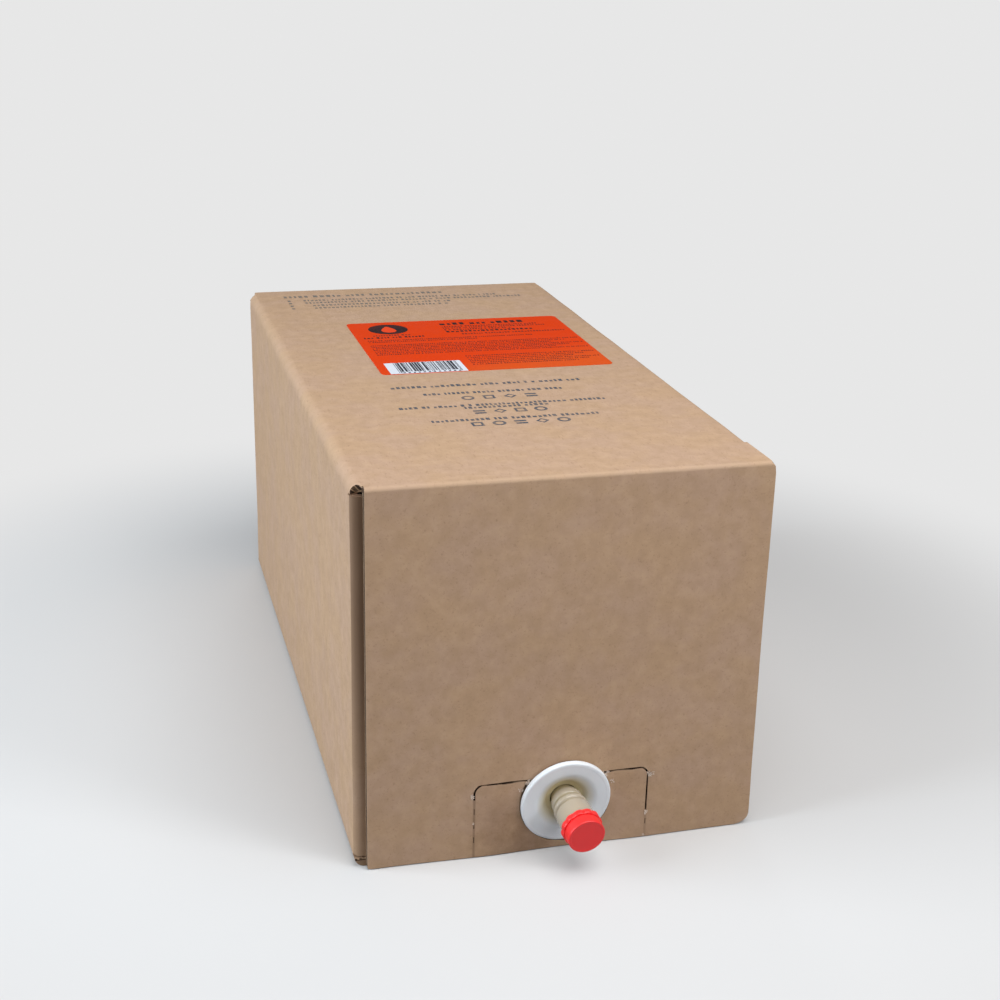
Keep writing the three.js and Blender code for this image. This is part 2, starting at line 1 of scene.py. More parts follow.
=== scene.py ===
"""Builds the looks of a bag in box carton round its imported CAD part.

Lengths are in metres in the CAD frame: the origin is the middle of the carton's base, +Z is up and
the spout end faces -Y. Constants that describe sizes are in millimetres and are turned by MM.
"""

import logging
import math
from collections.abc import Callable
from dataclasses import dataclass
from enum import Enum
from functools import reduce

import bmesh
import bpy
import numpy as np
from mathutils import Matrix, Vector


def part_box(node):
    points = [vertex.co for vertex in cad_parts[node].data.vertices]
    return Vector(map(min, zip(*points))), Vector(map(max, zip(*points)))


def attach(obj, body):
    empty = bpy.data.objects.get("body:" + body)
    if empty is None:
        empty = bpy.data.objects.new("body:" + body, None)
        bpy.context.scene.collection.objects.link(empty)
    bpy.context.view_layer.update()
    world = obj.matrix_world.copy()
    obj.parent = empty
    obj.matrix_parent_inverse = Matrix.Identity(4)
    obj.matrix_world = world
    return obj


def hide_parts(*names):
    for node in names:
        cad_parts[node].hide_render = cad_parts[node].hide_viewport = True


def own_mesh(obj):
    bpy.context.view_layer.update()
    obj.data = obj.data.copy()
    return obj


log = logging.getLogger("pack")

Material, Mesh, Socket = bpy.types.Material, bpy.types.Mesh, bpy.types.NodeSocket

MM = 0.001
HALF_WIDTH = 97.0
HALF_LENGTH = 195.0
HEIGHT = 186.4
BOARD = 4.0
PLY = 4.3
LABEL_TOP = 186.7
FLUTE_PITCH = 7.8
LINER = 0.45

TAB_LEFT, TAB_RIGHT, TAB_TOP = -41.5, 43.0, 37.8
DISC_X, DISC_Z = 2.63, 25.34
HOLE_X, HOLE_Z, HOLE_R = 3.3, 24.0, 22.0
FLAP_LEFT, FLAP_RIGHT = -91.4, 95.0
FLAP_SIDE = 91.4
OUTER_FLAP_BACK = PLY - 0.1 - HALF_LENGTH

SPOUT_ORIGIN = (2.7, -197.4, 25.0)
SPOUT_AIM = (8.0, 1.7)
VALVE_AIM = (8.5, 4.3)
DISH_DEPTH = 7.5

VALVE_SHOULDER = 24.3
NOZZLE_END = 31.3
SEAT = 22.3
TAIL_END = -8.3
RETAINER_FRONT = -6.0
POPPET_FACE = 20.1
POPPET_BACK = 17.8

WHITE = (1.0, 1.0, 1.0, 1.0)


class Body(Enum):
    """The CAD bodies that pieces ride on."""

    PACK = "pack"
    POPPET = "poppet"
    CAP = "cap"


class Slot(Enum):
    """Names of material slots, which no piece in this script is given."""

    BOARD = "kraft_board"
    LABEL = "label_paper"
    FILM = "bag_film"
    WHITE = "white_plastic"
    IVORY = "ivory_plastic"
    POPPET = "poppet_plastic"
    SEAL = "seal_rubber"
    SPRING = "spring_steel"
    RED = "red_plastic"


def linear(red: float, green: float, blue: float) -> tuple[float, float, float, float]:
    """Turns a colour seen on screen, 0 to 255, into the light values that a shader takes."""
    seen = np.array([red, green, blue]) / 255
    light = np.where(seen <= 0.04045, seen / 12.92, ((seen + 0.055) / 1.055) ** 2.4)
    return (float(light[0]), float(light[1]), float(light[2]), 1.0)


# Shading


class Shading:
    """A material or world under construction, with short calls for the nodes that they share."""

    def __init__(self, name: str, start: Callable = bpy.data.materials.new) -> None:
        """Starts an empty material, or what else start makes, with that name."""
        self.material = start(name)
        self.material.use_nodes = True
        self.tree = self.material.node_tree
        self.tree.nodes.clear()
        self.place = self.add("TexCoord").outputs["Object"]

    def add(self, kind: str, inputs: dict | None = None, **settings: object) -> bpy.types.Node:
        """Adds one node.

        Args:
            kind: the node's type name, less its first word.
            inputs: values or other nodes' outputs, by input name or number.
            settings: properties of the node.

        Returns:
            The node.
        """
        node = self.tree.nodes.new("ShaderNode" + kind)
        for name, value in settings.items():
            setattr(node, name, value)
        for name, value in (inputs or {}).items():
            if isinstance(value, Socket):
                self.tree.links.new(value, node.inputs[name])
            else:
                node.inputs[name].default_value = value
        return node

    def math(self, operation: str, *values: object) -> Socket:
        """Adds one operation on numbers and returns its result."""
        return self.add("Math", dict(enumerate(values)), operation=operation).outputs[0]

    def times(self, *values: object) -> Socket:
        """Returns the product of numbers."""
        return reduce(lambda product, value: self.math("MULTIPLY", product, value), values)

    def less(self, value: object, other: object) -> Socket:
        """Returns one number less another."""
        return self.math("SUBTRACT", value, other)

    def size(self, value: object) -> Socket:
        """Returns a number without its sign."""
        return self.math("ABSOLUTE", value)

    def split(self, vector: object) -> list[Socket]:
        """Returns the three parts of a vector."""
        return list(self.add("SeparateXYZ", {0: vector}).outputs)

    def stretched(self, x: float, y: float, z: float) -> Socket:
        """Returns the place on the object, scaled on its own axes."""
        return self.add("Mapping", {"Vector": self.place, "Scale": (x, y, z)}).outputs[0]

    def noise(self, vector: object, scale: float, detail: float = 3.0, rough: float = 0.55,
              seed: float = 0.0) -> Socket:
        """Returns soft noise from 0 to 1; another seed gives another pattern."""
        moved = self.add("VectorMath", {0: vector, 1: (seed, seed * 1.7, seed * 0.6)})
        return self.add("TexNoise", {"Vector": moved.outputs[0], "Scale": scale,
                                     "Detail": detail, "Roughness": rough}).outputs[0]

    def between(self, value: object, low: float, high: float, first: float = 0.0,
                last: float = 1.0) -> Socket:
        """Carries a value smoothly from the range low to high into first to last, and holds it."""
        return self.add("MapRange", {
            "Value": value, "From Min": low, "From Max": high, "To Min": first, "To Max": last},
            interpolation_type="SMOOTHSTEP").outputs[0]

    def mix(self, share: object, first: object, second: object, blend: str = "MIX") -> Socket:
        """Mixes two colours and returns the result."""
        return self.add("Mix", {0: share, 6: first, 7: second}, data_type="RGBA",
                        blend_type=blend).outputs[2]

    def attribute(self, name: str) -> Socket:
        """Returns a number that is stored on the mesh."""
        return self.add("Attribute", attribute_name=name).outputs["Fac"]

    def bump(self, height: object, depth: float, under: object = None) -> Socket:
        """Returns a normal raised by height times depth in metres, over another normal if given."""
        inputs = {"Height": height, "Distance": depth, "Strength": 1.0}
        if under is not None:
            inputs["Normal"] = under
        return self.add("Bump", inputs).outputs[0]

    def finish(self, **inputs: object) -> Material:
        """Ends the material with one principled surface and returns it."""
        named = {key.replace("_", " "): value for key, value in inputs.items()}
        self.add("OutputMaterial", {0: self.add("BsdfPrincipled", named).outputs[0]})
        return self.material


@dataclass(frozen=True)
class KraftFinish:
    """Matt kraft liner: mottled pulp, fibres, specks, flute lines, painted shade and painted fold
    highlights.

    The masks take places in millimetres.
    """

    name: str = "kraft_liner"
    pale: tuple = linear(195, 164, 135)
    mid: tuple = linear(185, 153, 123)
    dark: tuple = linear(171, 141, 112)
    pink: tuple = linear(184, 153, 129)
    # Painted highlight along the folds.
    fold: tuple = linear(207, 180, 153)
    fibre: tuple = linear(152, 121, 94)
    speck: tuple = linear(120, 92, 70)
    # Painted shade for the recessed corner slots.
    slot_shade_tone: tuple = linear(116, 91, 71)
    # Painted shadow of the disc on the tab; its middle is set below.
    disc_shadow_tone: tuple = linear(126, 98, 74)
    # Painted shade for the tab's crushed lines.
    crease_shade_tone: tuple = linear(112, 88, 68)
    disc_shadow_place: tuple = (-0.024, -0.195, 0.009)

    def material(self) -> Material:
        """Builds the material in the carton's own coordinates, layer over layer."""
        s = Shading(self.name)
        x, y, z = (s.times(part, 1 / MM) for part in s.split(s.place))
        cloud = s.noise(s.place, 36, 4, 0.6)
        pulp = s.noise(s.place, 150, 5, 0.65, 3.1)
        grain = s.noise(s.stretched(1, 0.35, 1), 900, 3, 0.7, 5.2)
        fibres = s.noise(s.stretched(1, 0.12, 0.4), 1700, 2, 0.6, 8.7)
        # Painted highlight along the folds, which also raises their bump.
        folds = self.folds(s, x, y, z)
        colour = self.mid
        for share, tone in (
                (s.between(cloud, 0.35, 0.65), self.pink),
                (s.between(pulp, 0.4, 0.72, 0, 0.55), self.dark),
                (s.between(pulp, 0.5, 0.25, 0, 0.5), self.pale),
                (s.between(grain, 0.56, 0.72, 0, 0.5), self.fibre),
                (s.between(fibres, 0.62, 0.74, 0, 0.35), self.pale),
                # Painted shade in the corner slots.
                (self.specks(s), self.speck), (self.slot_shade(s, x, y, z), self.slot_shade_tone),
                # Painted shadow of the disc on the tab.
                (self.disc_shadow(s, pulp), self.disc_shadow_tone), (self.crease_shade(s, x, y, z), self.crease_shade_tone),
                # Painted highlight along the folds.
                (s.times(folds, s.between(pulp, 0.3, 0.62, 0.25, 0.95)), self.fold)):
            colour = s.mix(share, colour, tone)
        flutes = s.times(s.math("SINE", s.times(x, 2 * math.pi / FLUTE_PITCH)), 0.5)
        dents = s.noise(s.place, 14, 2, 0.5, 2.2)
        normal = None
        for height, depth in ((grain, 0.00006), (flutes, 0.00005), (s.times(folds, pulp), 0.0007),
                              (dents, 0.0016)):
            normal = s.bump(height, depth, normal)
        return s.finish(Base_Color=colour, Roughness=0.82, Normal=normal, Specular_IOR_Level=0.25)

    def specks(self, s: Shading) -> Socket:
        """Sparse dark specks: small spots round some of a scatter of points."""
        dots = s.add("TexVoronoi", {"Vector": s.place, "Scale": 330.0}).outputs
        chosen = s.between(s.split(dots["Color"])[0], 0.93, 0.96)
        return s.times(s.between(dots["Distance"], 0.22, 0.1), chosen, 0.22)

    def slot_shade(self, s: Shading, x: Socket, y: Socket, z: Socket) -> Socket:
        """How deep a place lies in the corner slots, where painted shade darkens the recessed
        board.

        It is strongest high up in the left slots, and a cover flap over the end has none.
        """
        side, end = s.size(x), s.size(y)
        return s.times(
            s.between(side, FLAP_SIDE - 1, FLAP_SIDE),
            s.between(side, HALF_WIDTH - 0.2, HALF_WIDTH - 2, 0.8),
            s.between(end, HALF_LENGTH - 7.9, HALF_LENGTH - 6.7),
            s.between(end, HALF_LENGTH - 3.7, HALF_LENGTH - 4.1),
            s.between(z, HEIGHT - 3, HEIGHT - 5), s.between(z, 10, 130, 0.5),
            s.between(x, 10, -10, 0.25))

    def disc_shadow(self, s: Shading, pulp: Socket) -> Socket:
        """A soft painted shadow of the disc, on the tab to its lower left."""
        away = s.add("VectorMath", {0: s.place, 1: self.disc_shadow_place}, operation="DISTANCE")
        return s.times(s.between(away.outputs["Value"], 0.028, 0.004, 0, 0.9), pulp)

    def crease_shade(self, s: Shading, x: Socket, y: Socket, z: Socket) -> Socket:
        """Painted shade along the faint crushed lines down the tab's two sides, between its cuts.
        """
        sides = [s.between(s.size(s.less(x, place)), 0.9, 0.2, 0, strength)
                 for place, strength in ((TAB_LEFT, 0.5), (TAB_RIGHT, 0.25))]
        return s.times(s.math("MAXIMUM", *sides), s.between(z, 34, 32),
                       s.between(y, -193.8, -194.2))

    def folds(self, s: Shading, x: Socket, y: Socket, z: Socket) -> Socket:
        """Painted highlight: how close a place is to a long or an end fold of the carton, 1 at the
        fold.
        """
        side = s.less(HALF_WIDTH, s.size(x))
        level = s.less(HEIGHT / 2, s.size(s.less(z, HEIGHT / 2)))
        end = s.size(s.less(HALF_LENGTH, s.size(y)))
        broad = s.between(s.math("ADD", side, level), 6, 2, 0, 0.14)
        sharp = s.between(s.math("ADD", end, s.less(HEIGHT, z)), 2.8, 0.6, 0, 0.4)
        return s.math("MAXIMUM", broad, sharp)


@dataclass(frozen=True)
class CutEdgeFinish:
    """A cut edge of corrugated board: two liners, the fluting as a wave between them, painted shade
    in the hollows.

    The mesh stores the depth into the board as edge_depth and the place along the edge as
    edge_run, both in metres, edge_across, 1 where the cut crosses the flutes, and edge_shut, 1 in
    a slit that is too narrow for light.
    """

    name: str = "cut_board_edge"
    liner: tuple = linear(206, 176, 144)
    medium: tuple = linear(188, 156, 124)
    # Painted shade for the hollows between the flutes and for narrow slits.
    hollow: tuple = linear(48, 33, 24)
    # Painted shade: the strip cut along the flutes streaks between these two; frayed spots also
    # darken towards the first.
    shade: tuple = linear(72, 55, 43)
    strip: tuple = linear(88, 70, 55)

    def material(self) -> Material:
        """Builds the material, in millimetres, from the depths that the mesh stores."""
        s = Shading(self.name)
        depth, run = (s.times(s.attribute(name), 1 / MM) for name in ("edge_depth", "edge_run"))
        half = BOARD / 2
        middle = s.less(depth, half)
        swing = s.times(s.math("SINE", s.times(run, 2 * math.pi / FLUTE_PITCH)), half - LINER)
        wave = s.between(s.size(s.less(middle, swing)), 0.62, 0.3)
        liners = s.between(s.size(middle), half - 1.2 * LINER, half - 0.7 * LINER)
        streaks = s.between(s.noise(s.stretched(1, 1, 0.06), 900, 2), 0.35, 0.6)
        inner = s.mix(s.attribute("edge_across"), s.mix(streaks, self.shade, self.strip),
                      s.mix(wave, self.hollow, self.medium))
        fray = s.noise(s.place, 700, 3, 0.6)
        uneven = s.between(s.noise(s.place, 160, 2, 0.5, 4.4), 0.32, 0.58, 0.6)
        colour = s.mix(liners, inner, self.liner)
        colour = s.mix(s.between(fray, 0.45, 0.75, 0, 0.45), colour, self.shade)
        # Painted shade in the slits and in the gap round the disc, uneven along them.
        colour = s.mix(s.times(s.attribute("edge_shut"), uneven), colour, self.hollow)
        return s.finish(Base_Color=colour, Roughness=0.9, Normal=s.bump(fray, 0.0003),
                        Specular_IOR_Level=0.2)


@dataclass(frozen=True)
class InkFinish:
    """Ink that has sunk into paper, with tiny gaps where the fibres show."""

    name: str
    ink: tuple
    paper: tuple
    wear: float = 0.5
    gloss: float = 0.75

    def material(self) -> Material:
        """Builds the material with worn spots of the paper's colour."""
        s = Shading(self.name)
        spots = s.between(s.noise(s.place, 1100, 3, 0.6), 0.48, 0.7, 0, self.wear)
        clouds = s.between(s.noise(s.place, 120, 2), 0.4, 0.7, 0, 0.5 * self.wear)
        colour = s.mix(s.math("MAXIMUM", spots, clouds), self.ink, self.paper)
        return s.finish(Base_Color=colour, Roughness=self.gloss, Specular_IOR_Level=0.25)


@dataclass(frozen=True)
class LabelFinish:
    """Coated orange paper that pales towards its front edge."""

    name: str = "orange_label"
    deep: tuple = linear(216, 60, 0)
    pale: tuple = linear(213, 82, 22)
    screen: tuple = linear(188, 50, 12)

    def material(self) -> Material:
        """Builds the material with a fine print screen."""
        s = Shading(self.name)
        x, y, _ = s.split(s.place)
        fade = s.between(s.math("ADD", y, s.times(x, -0.35)), 0.012, -0.032)
        dots = s.between(s.noise(s.place, 1300, 2), 0.4, 0.65, 0, 0.22)
        return s.finish(
            Base_Color=s.mix(dots, s.mix(fade, self.deep, self.pale), self.screen),
            Roughness=s.between(s.noise(s.place, 60, 2), 0.3, 0.7, 0.5, 0.6),
            Normal=s.bump(s.noise(s.place, 380, 3), 0.00004), Specular_IOR_Level=0.08)


@dataclass(frozen=True)
class PlasticFinish:
    """Moulded plastic with a soft mottle, fine scratches and a stored inner colour, painted shade
    towards the inside.
    """

    name: str
    colour: tuple
    roughness: float
    scatter: float = 0.0
    glow: tuple = (0.004, 0.003, 0.002)
    relief: float = 0.00003
    level: float = 0.5
    mottle: float = 0.16
    # The inner colour: painted shade, on the spout with some of the plastic's own warmer tone.
    inner: tuple | None = None

    def material(self) -> Material:
        """Builds the material: the mesh's inner_tint leads from the outer colour to the inner,
        painted shade.
        """
        s = Shading(self.name)
        cloud = s.between(s.noise(s.place, 180, 3), 0.3, 0.7, 0, self.mottle)
        colour = s.mix(s.attribute("inner_tint"), self.colour, self.inner or self.colour)
        darker = s.mix(1.0, colour, (0.82, 0.8, 0.78, 1.0), "MULTIPLY")
        scratches = s.noise(s.stretched(1, 0.2, 1), 2600, 2)
        return s.finish(
            Base_Color=s.mix(cloud, colour, darker),
            Roughness=s.between(scratches, 0.3, 0.7, self.roughness - 0.05, self.roughness + 0.07),
            Normal=s.bump(s.noise(s.place, 520, 3), self.relief),
            Subsurface_Weight=self.scatter, Subsurface_Radius=self.glow, Subsurface_Scale=1.0,
            Specular_IOR_Level=self.level)


@dataclass(frozen=True)
class SteelFinish:
    """Drawn spring wire."""

    name: str = "drawn_wire"

    def material(self) -> Material:
        """Builds the material with fine draw marks."""
        s = Shading(self.name)
        marks = s.noise(s.place, 3000, 2)
        colour = s.mix(marks, linear(168, 170, 174), linear(206, 208, 210))
        return s.finish(Base_Color=colour, Metallic=1.0,
                        Roughness=s.between(marks, 0.3, 0.7, 0.22, 0.38))


# Meshes


def added(name: str, data: object) -> bpy.types.Object:
    """Makes an object from its data and puts it in the scene."""
    thing = bpy.data.objects.new(name, data)
    bpy.context.scene.collection.objects.link(thing)
    return thing


def show(mesh: Mesh, materials: list[Material], body: Body,
         replaced: tuple[str, ...] = ()) -> bpy.types.Object:
    """Puts a mesh in the scene as a piece of the object.

    Args:
        mesh: the mesh, in the CAD frame.
        materials: its materials, in the order of the faces' material numbers.
        body: the CAD body that it rides on.
        replaced: the CAD nodes that it stands for.

    Returns:
        The new object.
    """
    for material in materials:
        mesh.materials.append(material)
    piece = added(mesh.name, mesh)
    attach(piece, body.value)
    if replaced:
        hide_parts(*replaced)
    log.info("%s: %d faces", piece.name, len(mesh.polygons))
    return piece


def store(mesh: Mesh, name: str, values: np.ndarray, domain: str = "POINT") -> None:
    """Stores one number for each vertex or face corner of a mesh."""
    layer = mesh.attributes.new(name, "FLOAT", domain)
    layer.data.foreach_set("value", np.ascontiguousarray(values, np.float32))


def read(parts: object, name: str, columns: int = 1, kind: type = np.float32) -> np.ndarray:
    """Returns a property of a mesh's vertices, faces or corners."""
    values = np.empty(len(parts) * columns, kind)
    parts.foreach_get(name, values)
    return values.reshape(-1, columns) if columns > 1 else values


def positions(mesh: Mesh) -> np.ndarray:
    """Returns the vertices of a mesh as rows, in millimetres."""
    return read(mesh.vertices, "co", 3).astype(float) / MM


def move(mesh: Mesh, points: np.ndarray) -> None:
    """Puts the vertices of a mesh at rows of millimetres."""
    mesh.vertices.foreach_set("co", (points * MM).ravel())


def made(name: str, points: np.ndarray, faces: np.ndarray) -> Mesh:
    """Makes a mesh from points in metres and rows of point numbers."""
    mesh = bpy.data.meshes.new(name)
    mesh.from_pydata(points.reshape(-1, 3), [], faces.tolist())
    return mesh


def smooth(mesh: Mesh, sharp_degrees: float) -> None:
    """Shades a mesh smooth, with sharp edges where faces meet at more than an angle."""
    mesh.polygons.foreach_set("use_smooth", np.ones(len(mesh.polygons), bool))
    mesh.set_sharp_from_angle(angle=math.radians(sharp_degrees))
    mesh.update()


def grid_faces(rows: int, columns: int, closed: bool) -> np.ndarray:
    """Four corners for each cell of a grid of points that are numbered row by row.

    Args:
        rows: the number of rows of points.
        columns: the number of points in each row.
        closed: whether the last column joins the first.

    Returns:
        One row of four point numbers for each cell.
    """
    row, column = np.mgrid[:rows - 1, :columns if closed else columns - 1].reshape(2, -1)
    beside = (column + 1) % columns
    return np.stack([row * columns + column, row * columns + beside,
                     (row + 1) * columns + beside, (row + 1) * columns + column], axis=1)


def rounded(corners: list[tuple[float, ...]], step: float) -> np.ndarray:
    """Rounds the corners of an open outline.

    Each corner is (x, y, fillet radius). A fillet is the arc that touches both sides, cut down
    where a side is too short for it.

    Args:
        corners: the corners in order.
        step: the longest arc step in radians.

    Returns:
        One row of x, y for each point of the rounded outline.
    """
    points = [np.array(corners[0][:2], float)]
    for before, corner, after in zip(corners, corners[1:], corners[2:]):
        here = np.array(corner[:2], float)
        back, ahead = np.array(before[:2]) - here, np.array(after[:2]) - here
        reach = [np.linalg.norm(back), np.linalg.norm(ahead)]
        back, ahead = back / reach[0], ahead / reach[1]
        half = math.acos(float(np.clip(back @ ahead, -1, 1))) / 2
        radius = corner[2] if len(corner) > 2 and half < 1.565 else 0.0
        radius = min(radius, 0.48 * min(reach) * math.tan(half))
        if radius < 1e-4:
            points.append(here)
            continue
        centre = here + (back + ahead) / np.linalg.norm(back + ahead) * radius / math.sin(half)
        start = here + back * radius / math.tan(half) - centre
        turn = (math.pi - 2 * half) * -np.sign(back[0] * ahead[1] - back[1] * ahead[0])
        angles = np.linspace(0, turn, max(2, math.ceil(abs(turn) / step)) + 1)
        cos, sin = np.cos(angles), np.sin(angles)
        points.extend(centre + np.stack(
            [start[0] * cos - start[1] * sin, start[0] * sin + start[1] * cos], 1))
    return np.array([*points, corners[-1][:2]])


def subdivided(outline: np.ndarray, longest: float) -> np.ndarray:
    """Adds points to an outline so that no side is longer than a length."""
    steps = np.linalg.norm(np.diff(outline, axis=0), axis=1)
    parts = [np.linspace(a, b, max(1, math.ceil(length / longest)) + 1)[:-1]
             for a, b, length in zip(outline, outline[1:], steps)]
    return np.vstack([*parts, outline[-1:]])


@dataclass(frozen=True)
class Axis:
    """A place and direction along which round pieces are built, +Y outwards."""

    origin: tuple[float, float, float]
    droop: float
    yaw: float

    def placed(self, points: np.ndarray) -> np.ndarray:
        """Carries rows of points from the axis's own millimetres to the CAD frame's metres.

        The points are turned about X by minus the droop, then about Z by half a turn plus the
        yaw, and then moved to the origin.
        """
        turn = Matrix.Rotation(math.pi + math.radians(self.yaw), 4, "Z")
        tilt = Matrix.Rotation(-math.radians(self.droop), 4, "X")
        matrix = np.array(Matrix.Translation(self.origin) @ turn @ tilt)
        return (points @ matrix[:3, :3].T + matrix[:3, 3]) * MM


SPOUT = Axis(SPOUT_ORIGIN, *SPOUT_AIM)
VALVE = Axis(tuple(SPOUT.placed(np.array([[0, -DISH_DEPTH, 0]]))[0] / MM), *VALVE_AIM)


@dataclass
class Turned:
    """A round piece: an outline of (radius, place along the axis) turned about the axis."""

    name: str
    axis: Axis
    corners: list[tuple[float, ...]]
    segments: int = 128
    longest: float = 1.0
    lobes: int = 0
    lobe_depth: float = 0.0
    lobe_span: tuple[float, float] = (0.0, 0.0)
    sway: float = 0.0
    # The radii between which the inner colour, painted shade, takes over.
    shade_from: float = 0.0
    shade_to: float = 0.0

    def mesh(self) -> Mesh:
        """Builds the mesh.

        The radius at angle a is the outline's radius, less the lobe depth times
        1 - |sin(lobes a / 2)| within the lobed span, plus the sway times cos(2 a) for a moulding
        that has come out slightly oval.
        """
        outline = subdivided(rounded(self.corners, math.pi / 18), self.longest)
        radius, along = outline[:, :1], outline[:, 1:]
        angle = np.linspace(0, 2 * np.pi, self.segments, endpoint=False)[None, :]
        lobed = (along > self.lobe_span[0]) & (along < self.lobe_span[1])
        lobed = lobed & (radius > 0.75 * radius.max())
        cut = self.lobe_depth * (1 - np.abs(np.sin(self.lobes * angle / 2)))
        turned = radius - np.where(lobed, cut, 0) + self.sway * np.cos(2 * angle)
        turned = np.where(radius > 0.01, turned, 0.0)
        levels, radii = (np.broadcast_to(part, turned.shape) for part in (along, radius))
        points = np.stack([turned * np.sin(angle), levels, turned * np.cos(angle)], axis=2)
        mesh = made(self.name, self.axis.placed(points.reshape(-1, 3)),
                    grid_faces(len(outline), self.segments, True))
        self.store_shade(mesh, radii.ravel())
        self.close(mesh)
        return mesh

    def store_shade(self, mesh: Mesh, radius: np.ndarray) -> None:
        """Stores how far a point is from shade_from, 0, to shade_to, 1, by its radius: its share of
        painted shade.
        """
        span = self.shade_to - self.shade_from
        share = (radius - self.shade_from) / span if span else np.zeros_like(radius)
        store(mesh, "inner_tint", np.clip(share, 0, 1))

    def close(self, mesh: Mesh) -> None:
        """Joins the points that fall together on the axis and turns the faces outwards."""
        work = bmesh.new()
        work.from_mesh(mesh)
        bmesh.ops.remove_doubles(work, verts=work.verts, dist=1e-7)
        bmesh.ops.recalc_face_normals(work, faces=work.faces)
        work.to_mesh(mesh)
        work.free()
        smooth(mesh, 32)


def merged_copy(node: str, name: str, spacing: float,
                extra: dict[int, list[float]] | None = None) -> Mesh:
    """Copies a CAD node's mesh, joined, with its flat faces made whole and then cut by a grid.

    Args:
        node: the CAD node.
        name: the new mesh's name.
        spacing: the distance between the cuts on each axis, in millimetres.
        extra: more places to cut at, in millimetres, by axis number.

    Returns:
        The new mesh.
    """
    work = bmesh.new()
    work.from_mesh(bpy.data.objects[node].data)
    bmesh.ops.remove_doubles(work, verts=work.verts, dist=2e-6)
    bmesh.ops.dissolve_limit(
        work, angle_limit=math.radians(0.5), verts=work.verts, edges=work.edges)
    for axis, (low, high) in enumerate(zip(*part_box(node))):
        count = max(1, round((high - low) / MM / spacing))
        more = np.array((extra or {}).get(axis, [])) * MM
        for place in (*np.linspace(low, high, count + 1)[1:-1], *more):
            normal = Vector(np.eye(3)[axis])
            bmesh.ops.bisect_plane(
                work, geom=work.verts[:] + work.edges[:] + work.faces[:], dist=1e-6,
                plane_co=normal * place, plane_no=normal)
    mesh = bpy.data.meshes.new(name)
    work.to_mesh(mesh)
    work.free()
    return mesh


@dataclass(frozen=True)
class Ripple:
    """Smooth seeded unevenness: a sum of plane waves in random directions."""

    seed: int
    wavelength: float
    waves: int = 9

    def at(self, points: np.ndarray) -> np.ndarray:
        """The unevenness at each point, about -1 to 1: the mean of sin(k . p + phase), scaled."""
        rng = np.random.default_rng(self.seed)
        directions = rng.normal(size=(self.waves, 3))
        directions /= np.linalg.norm(directions, axis=1, keepdims=True)
        lengths = self.wavelength * rng.uniform(0.6, 1.7, self.waves)
        phases = rng.uniform(0, 2 * np.pi, self.waves)
        turns = points @ (directions * (2 * np.pi / lengths)[:, None]).T + phases
        return np.sin(turns).mean(axis=1) * 2.2


def step_between(low: float, high: float, values: np.ndarray) -> np.ndarray:
    """A smooth step: 0 at low, 1 at high, and 3 t^2 - 2 t^3 between."""
    share = np.clip((values - low) / (high - low), 0, 1)
    return share * share * (3 - 2 * share)


# Carton


